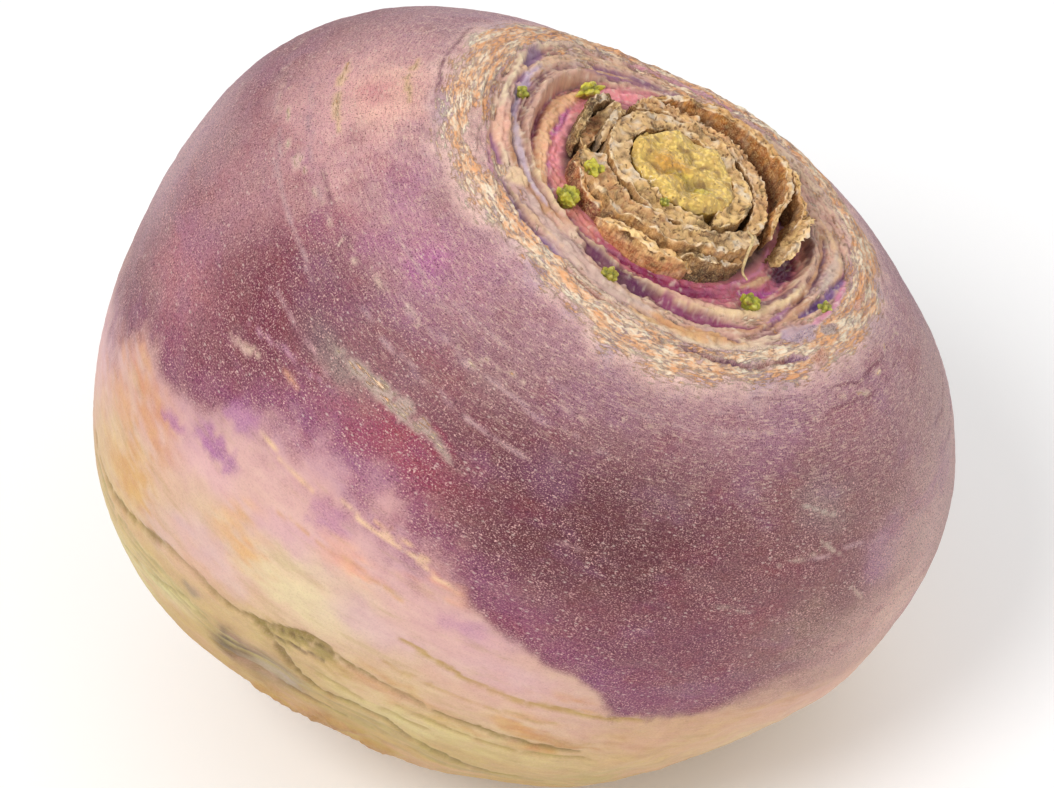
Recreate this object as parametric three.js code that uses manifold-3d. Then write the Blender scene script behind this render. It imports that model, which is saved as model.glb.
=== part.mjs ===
// A turnip as it lies on a table: a swollen root with a lobed outline, tilted to one side, with a cork-edged
// crown where the leaves were cut off. Dry leaf bases and small buds stand in the crown round the cut stem.
// Millimetres, +Z up. The origin is on the table, under the middle of the turnip's outline box.
// Crown heights and radii are along and from the root's own axis, measured from the root's centre.
import * as THREE from "three";
import { mergeVertices } from "three/addons/utils/BufferGeometryUtils.js";
import Module from "manifold-3d";

const wasm = await Module();
wasm.setup();

const CLEARANCE = 0.3; // between pieces that touch

// Swollen root: a superellipse turned about its axis, then swollen into lobes.
const BELLY_RADIUS = 53.8;
const DOME_HEIGHT = 45.4; // centre to crown, before the crown's pocket is sunk
const FULLNESS = 2.17; // exponent of the superellipse: 2 is an ellipse
const LOBE_FADE = 1.5; // how fast the lobes die away towards the two poles
const LOBES = [
  // waves round the root; size and azimuth of the lobe near the crown, then near the root end
  { waves: 1, upper: 0.018, upperAt: -146, lower: 0.057, lowerAt: 89 },
  { waves: 2, upper: 0.075, upperAt: -6, lower: 0.05, lowerAt: 24 },
  { waves: 3, upper: 0.02, upperAt: 16, lower: 0.033, lowerAt: -4 },
  { waves: 4, upper: 0.037, upperAt: -24, lower: 0.055, lowerAt: 23 },
];

// Trimmed stump of the tap root, a little off the axis.
const STUMP_POLAR = 168;
const STUMP_AZIMUTH = 255;
const STUMP_RISE = 3.7;
const STUMP_SPREAD = 20; // degrees
const STUMP_CUT = 48; // centre to the flat cut

// How it lies: the crown leans towards +X, and the belly is flattened where it rests.
const LEAN = 26.2;
const SPIN = -5.6;
const REST_DEPTH = 47.3; // centre to table

// Crown, from the axis outwards: a flat pocket, then ridges and grooves above or below the smooth dome.
const POCKET_RADIUS = 19;
const POCKET_FLOOR = 40.6;
const CROWN_RELIEF = [
  { radius: 20, rise: -1 }, // cut edge of the last leaf bases
  { radius: 21.2, rise: -2.2 }, // groove
  { radius: 22.4, rise: -0.9 }, // flat leaf scars
  { radius: 24.6, rise: -0.7 },
  { radius: 25.6, rise: 0.2 }, // cork ridges
  { radius: 27, rise: 0.6 },
  { radius: 28.4, rise: 0.3 },
  { radius: 29.6, rise: 0.4 },
  { radius: 31, rise: 0 },
];
const SEGMENTS_ROUND = 60;
const ROW_STEP = 4.4; // degrees between rows below the crown

// Cut stem.
const STEM_RADIUS = 6.2;
const STEM_OFFSET = 0.4;
const STEM_TOP = 46;

// Trimmed leaf bases: bands standing on the pocket's floor, from one azimuth to another.
const LEAF_BASES = [
  { name: "leaf_base_inner", inner: 7.1, outer: 9.9, from: -45, to: 298, rim: 45.2, flare: 0, ripple: 0.15 },
  { name: "leaf_base_second", inner: 10.4, outer: 14.2, from: 188, to: 330, rim: 44.6, flare: 0, ripple: 0.2 },
  { name: "leaf_base_left", inner: 10.4, outer: 14.6, from: 132, to: 184, rim: 44.8, flare: 0.2, ripple: 0.2 },
  { name: "leaf_base_toothed", inner: 10.4, outer: 12.4, from: -26, to: 126, rim: 44.5, flare: 0, ripple: 0.15 },
  { name: "leaf_base_tall", inner: 14.7, outer: 15.9, from: 10, to: 108, rim: 45.4, flare: 0.5, ripple: 0.2 },
  { name: "leaf_base_frill", inner: 14.8, outer: 17, from: -14, to: 6, rim: 44.9, flare: 0.9, ripple: 0.4 },
  { name: "leaf_base_pale", inner: 14.9, outer: 16.2, from: 234, to: 284, rim: 43.2, flare: 0.2, ripple: 0.2 },
];
const RIM_TAPER = 0.25; // share of a band's thickness lost at its rim
const RIM_WAVES = 11; // ripples in a full turn

// Buds: size is the bud's radius, and stretch lengthens it along the crown's rings.
const BUDS = [
  { name: "axil_bud_1", radius: 13.6, azimuth: 211.5, size: 1.3, host: "leaf_base_second", foot: 43.4 },
  { name: "axil_bud_2", radius: 17, azimuth: 219, size: 1.5, foot: POCKET_FLOOR + CLEARANCE },
  { name: "axil_bud_3", radius: 17.2, azimuth: 136, size: 1, stretch: 2.4, foot: POCKET_FLOOR + CLEARANCE },
  { name: "axil_bud_4", radius: 21.7, azimuth: 168.6, size: 1, host: "swollen_root" },
  { name: "axil_bud_5", radius: 22.2, azimuth: 252.8, size: 1.2, host: "swollen_root" },
  { name: "axil_bud_6", radius: 19.6, azimuth: 308.4, size: 1.5, host: "swollen_root", foot: 40.4 },
  { name: "axil_bud_7", radius: 24.4, azimuth: 334.7, size: 1, host: "swollen_root" },
  { name: "axil_bud_8", radius: 8.7, azimuth: 256, size: 0.8, host: "leaf_base_inner", foot: 44.3 },
];
const BUD_SINK = 1.1; // how far a bud's foot is set into the root's skin

const MATERIALS = {
  skin: new THREE.MeshStandardMaterial({ color: "#8f6380", roughness: 0.55, metalness: 0 }),
  pith: new THREE.MeshStandardMaterial({ color: "#c8b56c", roughness: 0.4, metalness: 0 }),
  dryLeaf: new THREE.MeshStandardMaterial({ color: "#a98c66", roughness: 0.85, metalness: 0 }),
  bud: new THREE.MeshStandardMaterial({ color: "#9fa33c", roughness: 0.6, metalness: 0 }),
};

const radians = THREE.MathUtils.degToRad;

// A closed geometry as a solid for cutting. Triangles that collapse on the axis are dropped.
function toSolid(geometry) {
  const bare = geometry.clone();
  bare.deleteAttribute("normal");
  bare.deleteAttribute("uv");
  const merged = mergeVertices(bare, 1e-4);
  const index = merged.index.array;
  const corners = [];
  for (let i = 0; i < index.length; i += 3) {
    const [a, b, c] = index.slice(i, i + 3);
    if (a !== b && b !== c && c !== a) corners.push(a, b, c);
  }
  return new wasm.Manifold(new wasm.Mesh({
    numProp: 3,
    vertProperties: new Float32Array(merged.attributes.position.array),
    triVerts: new Uint32Array(corners),
  }));
}

function toGeometry(solid) {
  const { vertProperties, triVerts } = solid.getMesh();
  const geometry = new THREE.BufferGeometry();
  geometry.setAttribute("position", new THREE.BufferAttribute(vertProperties, 3));
  geometry.setIndex(new THREE.BufferAttribute(triVerts, 1));
  geometry.computeVertexNormals();
  return geometry;
}

// Moves each vertex of a geometry by a function that changes a Vector3 in place.
function moveVertices(geometry, move) {
  const position = geometry.attributes.position;
  const point = new THREE.Vector3();
  for (let i = 0; i < position.count; i++) {
    point.fromBufferAttribute(position, i);
    move(point);
    position.setXYZ(i, point.x, point.y, point.z);
  }
  return geometry;
}

// Height of the smooth dome at a distance from the axis.
function domeHeight(radius) {
  return DOME_HEIGHT * (1 - (radius / BELLY_RADIUS) ** FULLNESS) ** (1 / FULLNESS);
}

// How much further out the root's surface lies in a direction, as a factor.
function lobeFactor(polar, azimuth) {
  const upperShare = (1 + Math.cos(polar)) / 2;
  let sum = 0;
  for (const lobe of LOBES) {
    sum += upperShare * lobe.upper * Math.cos(lobe.waves * (azimuth - radians(lobe.upperAt)));
    sum += (1 - upperShare) * lobe.lower * Math.cos(lobe.waves * (azimuth - radians(lobe.lowerAt)));
  }
  return 1 + sum * Math.abs(Math.sin(polar)) ** LOBE_FADE;
}

// The turned outline, from the root end up to the middle of the crown's pocket.
function rootOutline() {
  const points = [new THREE.Vector2(0, -DOME_HEIGHT)];
  const edge = CROWN_RELIEF.at(-1).radius;
  const lastPolar = Math.atan2(edge, domeHeight(edge));
  const rows = Math.round((Math.PI - lastPolar) / radians(ROW_STEP));
  for (let row = 1; row < rows; row++) {
    const polar = Math.PI - ((Math.PI - lastPolar) * row) / rows;
    const across = Math.sin(polar) / BELLY_RADIUS;
    const along = Math.abs(Math.cos(polar)) / DOME_HEIGHT;
    const reach = (across ** FULLNESS + along ** FULLNESS) ** (-1 / FULLNESS);
    points.push(new THREE.Vector2(reach * Math.sin(polar), reach * Math.cos(polar)));
  }
  for (const { radius, rise } of [...CROWN_RELIEF].reverse()) {
    points.push(new THREE.Vector2(radius, domeHeight(radius) + rise));
  }
  points.push(new THREE.Vector2(POCKET_RADIUS, POCKET_FLOOR));
  points.push(new THREE.Vector2(POCKET_RADIUS / 2, POCKET_FLOOR));
  points.push(new THREE.Vector2(0, POCKET_FLOOR));
  return points;
}

// Swells the turned root into its lobes and pushes out the stump. The pocket's floor stays flat.
function swellRoot(geometry) {
  const stump = new THREE.Vector3().setFromSphericalCoords(1, radians(STUMP_POLAR), 0);
  stump.set(stump.z, 0, stump.y).applyAxisAngle(new THREE.Vector3(0, 0, 1), radians(STUMP_AZIMUTH));
  return moveVertices(geometry, (point) => {
    const inPocket = point.z > 0 && Math.hypot(point.x, point.y) < POCKET_RADIUS + 0.01;
    const height = point.z;
    const polar = Math.acos(point.z / point.length());
    const azimuth = Math.atan2(point.y, point.x);
    point.multiplyScalar(lobeFactor(polar, azimuth));
    if (inPocket) point.z = height;
    const fromStump = THREE.MathUtils.radToDeg(point.angleTo(stump));
    point.setLength(point.length() + STUMP_RISE * Math.exp(-((fromStump / STUMP_SPREAD) ** 2)));
  });
}

// Height of the crown's surface beside the pocket, lobes included.
function crownSurface(radius, azimuth) {
  const factor = lobeFactor(Math.atan2(radius, domeHeight(radius)), azimuth);
  const smooth = radius / factor;
  const outer = CROWN_RELIEF.findIndex((ring) => ring.radius > smooth);
  const [low, high] = [CROWN_RELIEF[outer - 1], CROWN_RELIEF[outer]];
  const share = (smooth - low.radius) / (high.radius - low.radius);
  return (domeHeight(smooth) + THREE.MathUtils.lerp(low.rise, high.rise, share)) * factor;
}

function budFoot({ radius, azimuth, foot }) {
  return foot ?? crownSurface(radius, radians(azimuth)) - BUD_SINK;
}

// A round hole, a clearance wider and deeper than the bud that stands in it.
function budSocket(bud) {
  const depth = 10;
  const radius = bud.size + CLEARANCE;
  const hole = new THREE.CylinderGeometry(radius, radius, depth, 12).rotateX(Math.PI / 2);
  hole.translate(0, 0, budFoot(bud) - CLEARANCE + depth / 2);
  hole.translate(
    bud.radius * Math.cos(radians(bud.azimuth)),
    bud.radius * Math.sin(radians(bud.azimuth)),
    0,
  );
  return toSolid(hole);
}

function cutSockets(solid, host) {
  return BUDS.filter((bud) => bud.host === host).reduce((rest, bud) => rest.subtract(budSocket(bud)), solid);
}

const lean = new THREE.Matrix4().makeRotationY(radians(LEAN));
const spin = new THREE.Matrix4().makeRotationZ(radians(SPIN));
const lying = new THREE.Matrix4().multiplyMatrices(lean, spin);

function swollenRoot() {
  const turned = new THREE.LatheGeometry(rootOutline(), SEGMENTS_ROUND).rotateX(Math.PI / 2);
  const size = 4 * BELLY_RADIUS;
  const stumpTrim = new THREE.BoxGeometry(size, size, size).translate(0, 0, -STUMP_CUT - size / 2);
  const tableTrim = new THREE.BoxGeometry(size, size, size).translate(0, 0, -REST_DEPTH - size / 2);
  tableTrim.applyMatrix4(lying.clone().invert());
  const trimmed = toSolid(swellRoot(turned)).subtract(toSolid(stumpTrim)).subtract(toSolid(tableTrim));
  return toGeometry(cutSockets(trimmed, "swollen_root"));
}

// A short stub with a rounded shoulder and a slightly domed, uneven cut.
function cutStem() {
  const foot = POCKET_FLOOR + CLEARANCE;
  const outline = [
    new THREE.Vector2(0, foot),
    new THREE.Vector2(STEM_RADIUS, foot),
    new THREE.Vector2(STEM_RADIUS * 0.98, STEM_TOP - 1.2),
    new THREE.Vector2(STEM_RADIUS * 0.86, STEM_TOP - 0.3),
    new THREE.Vector2(STEM_RADIUS * 0.5, STEM_TOP),
    new THREE.Vector2(0, STEM_TOP - 0.2),
  ];
  const geometry = new THREE.LatheGeometry(outline, 24).rotateX(Math.PI / 2);
  return geometry.translate(STEM_OFFSET, STEM_OFFSET, 0);
}

// A curved band that thins and leans outwards towards a rippled rim.
function leafBase({ name, inner, outer, from, to, rim, flare, ripple }) {
  const band = new THREE.Shape();
  band.absarc(0, 0, outer, radians(from), radians(to), false);
  band.absarc(0, 0, inner, radians(to), radians(from), true);
  const foot = POCKET_FLOOR + CLEARANCE;
  const middle = (inner + outer) / 2;
  const geometry = new THREE.ExtrudeGeometry(band, {
    depth: rim - foot,
    steps: 3,
    curveSegments: Math.ceil((to - from) / 25) + 1,
    bevelEnabled: false,
  });
  moveVertices(geometry, (point) => {
    const up = point.z / (rim - foot);
    const azimuth = Math.atan2(point.y, point.x);
    const radius = Math.hypot(point.x, point.y);
    const wave = Math.sin(RIM_WAVES * azimuth);
    const thinned = middle + (radius - middle) * (1 - RIM_TAPER * up);
    const moved = thinned + flare * up ** 2 + ripple * wave * up;
    point.set(moved * Math.cos(azimuth), moved * Math.sin(azimuth), foot + point.z * (1 - 0.04 * wave * up));
  });
  return toGeometry(cutSockets(toSolid(geometry), name));
}

// A pointed bulb with a flat foot.
function axilBud(bud) {
  const outline = [[0, 0], [0.75, 0], [1, 0.5], [0.85, 1], [0.4, 1.4], [0, 1.5]];
  const points = outline.map(([across, up]) => new THREE.Vector2(across * bud.size, up * bud.size));
  const geometry = new THREE.LatheGeometry(points, 10).rotateX(Math.PI / 2);
  return geometry.scale(1, bud.stretch ?? 1, 1);
}

function pieceMesh(name, geometry, material) {
  const mesh = new THREE.Mesh(geometry, material.clone());
  mesh.name = name;
  return mesh;
}

const crownUp = new THREE.Group();
crownUp.rotation.z = radians(SPIN);
crownUp.add(pieceMesh("swollen_root", swollenRoot(), MATERIALS.skin));
crownUp.add(pieceMesh("cut_stem", cutStem(), MATERIALS.pith));
for (const base of LEAF_BASES) {
  crownUp.add(pieceMesh(base.name, leafBase(base), MATERIALS.dryLeaf));
}
for (const bud of BUDS) {
  const mesh = pieceMesh(bud.name, axilBud(bud), MATERIALS.bud);
  const azimuth = radians(bud.azimuth);
  mesh.position.set(bud.radius * Math.cos(azimuth), bud.radius * Math.sin(azimuth), budFoot(bud));
  mesh.rotation.z = azimuth;
  crownUp.add(mesh);
}

const leaning = new THREE.Group();
leaning.rotation.y = radians(LEAN);
leaning.add(crownUp);

const turnip = new THREE.Group();
turnip.add(leaning);
turnip.updateMatrixWorld(true);
const outlineBox = new THREE.Box3().setFromObject(turnip, true);
const middle = outlineBox.getCenter(new THREE.Vector3());
leaning.position.set(-middle.x, -middle.y, -outlineBox.min.z);

export default turnip;
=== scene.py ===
"""A turnip with a trimmed, cork-edged crown, lying on a pale table in soft light.

The root and everything in its crown are shaped in the root's own axes, in millimetres: Z runs from the
root's centre up through the crown, azimuths turn about Z and polar angles are measured from the crown.
lay_down() then tilts a shape to the way the turnip lies, in metres, in the CAD's frame.
"""
import itertools
import math

import bpy
import numpy as np
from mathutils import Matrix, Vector


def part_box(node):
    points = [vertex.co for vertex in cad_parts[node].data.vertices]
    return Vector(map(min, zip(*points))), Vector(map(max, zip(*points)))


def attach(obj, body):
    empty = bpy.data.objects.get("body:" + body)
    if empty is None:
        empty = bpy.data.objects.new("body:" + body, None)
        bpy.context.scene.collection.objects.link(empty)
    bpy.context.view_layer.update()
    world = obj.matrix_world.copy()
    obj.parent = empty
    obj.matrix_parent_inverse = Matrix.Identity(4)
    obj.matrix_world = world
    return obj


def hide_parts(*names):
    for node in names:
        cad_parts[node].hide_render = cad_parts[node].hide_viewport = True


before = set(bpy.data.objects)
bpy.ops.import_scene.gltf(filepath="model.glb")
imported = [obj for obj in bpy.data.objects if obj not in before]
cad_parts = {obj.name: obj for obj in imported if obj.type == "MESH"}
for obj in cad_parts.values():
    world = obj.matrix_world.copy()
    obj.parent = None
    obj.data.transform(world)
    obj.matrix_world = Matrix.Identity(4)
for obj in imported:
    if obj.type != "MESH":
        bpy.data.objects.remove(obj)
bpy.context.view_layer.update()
MM = 0.001

# Root: a superellipse turned about its axis, then swollen into lobes.
BELLY_RADIUS = 53.8
DOME_HEIGHT = 45.4
FULLNESS = 2.17
LOBE_FADE = 1.5
LOBES = [
    # waves round the root, then size and azimuth near the crown, then near the root end
    (1, 0.018, -146, 0.057, 89),
    (2, 0.075, -6, 0.05, 24),
    (3, 0.02, 16, 0.033, -4),
    (4, 0.037, -24, 0.055, 23),
]
STUMP_POLAR, STUMP_AZIMUTH = 168, 255
STUMP_RISE, STUMP_SPREAD, STUMP_CUT = 3.7, 20, 48

# How it lies.
LEAN, SPIN, REST_DEPTH = 26.2, -5.6, 47.3

# Crown.
POCKET_EDGE = 19.4
POCKET_FLOOR = 40.6
NECK_EDGE = 31


# ---------------------------------------------------------------- shape helpers

def drift(points, size, seed=0):
    """Smooth random values, about -1 to 1, in lumps about size mm across."""
    scaled = points / size + 31.7 * (seed + 1)
    cell = np.floor(scaled).astype(np.int64)
    part = scaled - cell
    ease = part ** 3 * (part * (part * 6 - 15) + 10)
    total = np.zeros(points.shape[:-1])
    for corner in itertools.product((0, 1), repeat=3):
        at = cell + corner
        mix = (at[..., 0] * 73856093) ^ (at[..., 1] * 19349663) ^ (at[..., 2] * 83492791)
        mix = (mix ^ (mix >> 13)) * 1274126177 & 0x3FFFFFFF
        weight = np.ones_like(total)
        slope = np.zeros_like(total)
        for axis, step in enumerate(corner):
            weight *= ease[..., axis] if step else 1 - ease[..., axis]
            lean = ((mix >> (10 * axis)) & 1023) / 511.5 - 1
            slope += lean * (part[..., axis] - step)
        total += weight * slope
    return total * 1.7


def blur_step(low, high, value):
    """0 below low, 1 above high, and smooth between."""
    share = np.clip((value - low) / (high - low), 0, 1)
    return share * share * (3 - 2 * share)


def follow(place, knots):
    """A value that follows straight lines between knots of (place, value)."""
    return np.interp(place, [at for at, _ in knots], [value for _, value in knots])


def round_the_clock(azimuth, knots):
    """A value that follows knots of (azimuth, value) all the way round."""
    return follow(azimuth, sorted((at + turn, value) for turn in (-360, 0, 360) for at, value in knots))


def round_axis(radius, azimuth, height):
    """Points at a radius, an azimuth in radians and a height, about an axis."""
    parts = np.broadcast_arrays(radius * np.cos(azimuth), radius * np.sin(azimuth), height)
    return np.stack(parts, -1)


def soft_spot(first, second, half_first, half_second):
    """1 at (0, 0), falling off softly round its two half sizes."""
    return np.exp(-((first / half_first) ** 2 + (second / half_second) ** 2) ** 1.5)


def ring_quads(rows, columns, start=0):
    """Four-sided faces over rows of points that close into rings, and the first and last ring's points."""
    here = np.arange(rows * columns).reshape(rows, columns) + start
    beside = np.roll(here, -1, axis=1)
    quads = np.stack([here[:-1], here[1:], beside[1:], beside[:-1]], -1).reshape(-1, 4)
    return quads, here[0], here[-1]


def drum_faces(rows, columns):
    """Faces round a drum, with one face over each end."""
    quads, first, last = ring_quads(rows, columns)
    return quads.tolist() + [first.tolist(), last[::-1].tolist()]


def dome_height(radius):
    """Height of the smooth dome at a distance from the axis."""
    share = np.clip(radius / BELLY_RADIUS, 0, 1)
    return DOME_HEIGHT * (1 - share ** FULLNESS) ** (1 / FULLNESS)


def lobe_factor(polar, azimuth):
    upper_share = (1 + np.cos(polar)) / 2
    total = 0
    for waves, upper, upper_at, lower, lower_at in LOBES:
        total = total + upper_share * upper * np.cos(waves * (azimuth - math.radians(upper_at)))
        total = total + (1 - upper_share) * lower * np.cos(waves * (azimuth - math.radians(lower_at)))
    return 1 + total * np.abs(np.sin(polar)) ** LOBE_FADE


def smooth_root(polar, azimuth):
    """Points of the lobed root with its stump, before the crown is sunk and the stump is cut."""
    across = np.abs(np.sin(polar)) / BELLY_RADIUS
    along = np.abs(np.cos(polar)) / DOME_HEIGHT
    reach = (across ** FULLNESS + along ** FULLNESS) ** (-1 / FULLNESS)
    reach = reach * lobe_factor(polar, azimuth)
    stump_polar, stump_azimuth = math.radians(STUMP_POLAR), math.radians(STUMP_AZIMUTH)
    cosine = np.cos(polar) * math.cos(stump_polar)
    cosine = cosine + np.sin(polar) * math.sin(stump_polar) * np.cos(azimuth - stump_azimuth)
    from_stump = np.degrees(np.arccos(np.clip(cosine, -1, 1)))
    reach = reach + STUMP_RISE * np.exp(-((from_stump / STUMP_SPREAD) ** 2))
    return round_axis(reach * np.sin(polar), azimuth, reach * np.cos(polar))


def turn(angle, first, second):
    """A rotation by angle degrees that turns axis first towards axis second."""
    matrix = np.eye(3)
    matrix[first, first] = matrix[second, second] = math.cos(math.radians(angle))
    matrix[second, first] = math.sin(math.radians(angle))
    matrix[first, second] = -matrix[second, first]
    return matrix


LYING = turn(LEAN, 2, 0) @ turn(SPIN, 0, 1)


def root_centre():
    """Where the root's centre lies, in mm: its smooth outline is centred in the CAD root's box."""
    polar = np.radians(np.arange(0, 180.1, 1))[:, None]
    azimuth = np.radians(np.arange(0, 360, 1))[None, :]
    outline = smooth_root(polar, azimuth).reshape(-1, 3) @ LYING.T
    low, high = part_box("swollen_root")
    middle = (outline.min(0) + outline.max(0)) / 2
    across = (low.x + high.x) / 2 / MM - middle[0]
    along = (low.y + high.y) / 2 / MM - middle[1]
    return np.array([across, along, REST_DEPTH])


CENTRE = root_centre()


def lay_down(points):
    """From the root's own axes in mm to the frame in metres."""
    return (points @ LYING.T + CENTRE) * MM


def make_piece(name, points, faces, material, marks):
    """A mesh object from points in the root's axes.

    faces are lists of four corners, or of any number for a few odd ones. marks are named values for the
    material, one per point.
    """
    mesh = bpy.data.meshes.new(name)
    corners = np.array(list(itertools.chain.from_iterable(faces)), dtype=np.int32)
    sizes = np.array([len(face) for face in faces], dtype=np.int32)
    mesh.vertices.add(len(points))
    mesh.vertices.foreach_set("co", lay_down(points).astype(np.float32).ravel())
    mesh.loops.add(len(corners))
    mesh.loops.foreach_set("vertex_index", corners)
    mesh.polygons.add(len(sizes))
    mesh.polygons.foreach_set("loop_start", (np.cumsum(sizes) - sizes).astype(np.int32))
    mesh.polygons.foreach_set("use_smooth", np.ones(len(sizes), dtype=bool))
    mesh.update(calc_edges=True)
    mesh.validate()
    for mark, values in marks.items():
        values = np.asarray(values, dtype=np.float32)
        if values.ndim == 1:
            made = mesh.attributes.new(mark, "FLOAT", "POINT")
            made.data.foreach_set("value", values)
        else:
            made = mesh.attributes.new(mark, "FLOAT_VECTOR", "POINT")
            made.data.foreach_set("vector", values.ravel())
    mesh.materials.append(material)
    piece = bpy.data.objects.new(name, mesh)
    bpy.context.scene.collection.objects.link(piece)
    return piece


def stand_for(piece, node):
    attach(piece, "root")
    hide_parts(node)


# ---------------------------------------------------------------- colours

def tint(code):
    """A colour written as six hexadecimal digits, as linear red, green and blue."""
    parts = np.array([int(code[i:i + 2], 16) / 255 for i in (0, 2, 4)])
    return np.where(parts <= 0.04045, parts / 12.92, ((parts + 0.055) / 1.055) ** 2.4)


def paint(ground, colour, mask):
    """Lays a colour over the ground where mask is 1."""
    return ground + (tint(colour) - ground) * mask[..., None]


# ---------------------------------------------------------------- material helpers

class Bench:
    """Adds nodes to a tree. Inputs are given by a socket's name or number, as a value or a socket to join."""

    def __init__(self, tree):
        self.tree = tree

    def add(self, kind, inputs=None, **settings):
        node = self.tree.nodes.new(kind)
        for key, value in settings.items():
            setattr(node, key, value)
        for key, value in (inputs or {}).items():
            if isinstance(value, bpy.types.NodeSocket):
                self.tree.links.new(value, node.inputs[key])
            else:
                node.inputs[key].default_value = value
        return node

    def math(self, operation, first, second, clamp=False):
        node = self.add("ShaderNodeMath", {0: first, 1: second}, operation=operation, use_clamp=clamp)
        return node.outputs[0]

    def times(self, first, second):
        return self.math("MULTIPLY", first, second)

    def plus(self, first, second):
        return self.math("ADD", first, second)

    def minus(self, first, second, clamp=False):
        return self.math("SUBTRACT", first, second, clamp)

    def group(self, tree, inputs):
        return self.add("ShaderNodeGroup", inputs, node_tree=tree)

    def stretched(self, place, factors):
        return self.add("ShaderNodeVectorMath", {0: place, 1: factors}, operation="MULTIPLY").outputs[0]

    def moved(self, place, shift):
        """The same place moved by shift, so that one pattern doesn't repeat another."""
        return self.add("ShaderNodeVectorMath", {0: place, 1: (shift, shift, shift)}).outputs[0]

    def mark(self, name):
        return self.add("ShaderNodeAttribute", attribute_name=name)

    def noise(self, place, scale, detail, rough=0.5):
        inputs = {"Vector": place, "Scale": scale, "Detail": detail, "Roughness": rough}
        return self.add("ShaderNodeTexNoise", inputs).outputs[0]

    def remap(self, value, low, high, out_low=0.0, out_high=1.0):
        inputs = {0: value, 1: low, 2: high, 3: out_low, 4: out_high}
        return self.add("ShaderNodeMapRange", inputs, interpolation_type="SMOOTHSTEP").outputs[0]

    def mix(self, factor, first, second, blend="MIX"):
        node = self.add("ShaderNodeMix", data_type="RGBA", blend_type=blend)
        for slot, value in ((0, factor), (6, first), (7, second)):
            if isinstance(value, bpy.types.NodeSocket):
                self.tree.links.new(value, node.inputs[slot])
            elif slot == 0:
                node.inputs[0].default_value = value
            else:
                node.inputs[slot].default_value = (*tint(value), 1.0)
        return node.outputs[2]

    def lay(self, ground, colour, *masks):
        """Lays a colour over the ground by the product of the masks."""
        cover = masks[-1]
        for mask in reversed(masks[:-1]):
            cover = self.times(mask, cover)
        return self.mix(cover, ground, colour)


def new_group(name, inputs, outputs):
    """A shader node group with named sockets. Returns its tree, its bench, and its inner input node."""
    tree = bpy.data.node_groups.new(name, "ShaderNodeTree")
    for label, kind, default in inputs:
        socket = tree.interface.new_socket(label, in_out="INPUT", socket_type=kind)
        if default is not None:
            socket.default_value = default
    for label, kind in outputs:
        tree.interface.new_socket(label, in_out="OUTPUT", socket_type=kind)
    bench = Bench(tree)
    return tree, bench, bench.add("NodeGroupInput")


FLOAT, COLOUR, VECTOR = "NodeSocketFloat", "NodeSocketColor", "NodeSocketVector"


def speckle_group():
    """Fine dots: Dots is 1 on a dot. They come and go in cloudy areas."""
    inputs = [("Place", VECTOR, None), ("Size", FLOAT, 0.5), ("Share", FLOAT, 0.5)]
    tree, bench, given = new_group("Fine speckle", inputs, [("Dots", FLOAT)])
    scale = bench.math("DIVIDE", 1.0, given.outputs["Size"])
    cells = bench.add("ShaderNodeTexVoronoi", {"Vector": given.outputs["Place"], "Scale": scale})
    chance = bench.add("ShaderNodeSeparateColor", {0: cells.outputs["Color"]}).outputs[0]
    clouds = bench.noise(given.outputs["Place"], 0.16, 2.0)
    share = bench.times(given.outputs["Share"], bench.remap(clouds, 0.3, 0.7, 0.35, 1.5))
    lit = bench.math("LESS_THAN", chance, share)
    reach = bench.times(chance, 0.2)
    dot = bench.remap(bench.minus(cells.outputs["Distance"], reach), 0.12, 0.42, 1.0, 0.0)
    bench.add("NodeGroupOutput", {0: bench.times(dot, lit)})
    return tree


def mottle_group():
    """Cloudy variation of a colour: darker and lighter, with a slight shift of hue. Cloud is the pattern."""
    inputs = [("Place", VECTOR, None), ("Colour", COLOUR, None), ("Size", FLOAT, 3.0), ("Amount", FLOAT, 0.3)]
    tree, bench, given = new_group("Mottle", inputs, [("Colour", COLOUR), ("Cloud", FLOAT)])
    scale = bench.math("DIVIDE", 1.0, given.outputs["Size"])
    cloud = bench.noise(given.outputs["Place"], scale, 6.0, 0.65)
    centred = bench.minus(cloud, 0.5)
    value = bench.plus(1.0, bench.times(centred, given.outputs["Amount"]))
    hue = bench.plus(0.5, bench.times(centred, 0.06))
    inputs = {"Hue": hue, "Saturation": 1.0, "Value": value, "Fac": 1.0, "Color": given.outputs["Colour"]}
    shifted = bench.add("ShaderNodeHueSaturation", inputs).outputs[0]
    bench.add("NodeGroupOutput", {0: shifted, 1: cloud})
    return tree


def cork_group():
    """Flaky cork in streaks: how much of the skin it covers, its colour, and a height for the bump."""
    inputs = [("Place", VECTOR, None), ("Cover", FLOAT, 0.5), ("Light", COLOUR, None), ("Dark", COLOUR, None)]
    outputs = [("Colour", COLOUR), ("Height", FLOAT), ("Mask", FLOAT)]
    tree, bench, given = new_group("Cork flakes", inputs, outputs)
    place = given.outputs["Place"]
    torn = bench.noise(place, 1.9, 6.0, 0.74)
    reach = bench.plus(bench.times(bench.minus(torn, 0.5), 1.9), given.outputs["Cover"])
    mask = bench.remap(reach, 0.4, 0.62)
    fine = bench.noise(place, 3.4, 4.0, 0.7)
    shade = bench.noise(place, 0.5, 3.0, 0.6)
    blend = bench.plus(bench.times(shade, 0.8), bench.times(fine, 0.55))
    colour = bench.mix(bench.remap(blend, 0.5, 0.8), given.outputs["Light"], given.outputs["Dark"])
    # A faint painted shade along the edges of the flakes.
    rim = bench.times(bench.remap(reach, 0.4, 0.5), bench.remap(reach, 0.5, 0.6, 1.0, 0.0))
    colour = bench.lay(colour, "9a6a54", rim, 0.06)
    height = bench.times(mask, bench.plus(0.25, bench.times(fine, 0.9)))
    bench.add("NodeGroupOutput", {0: colour, 1: height, 2: mask})
    return tree


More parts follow.
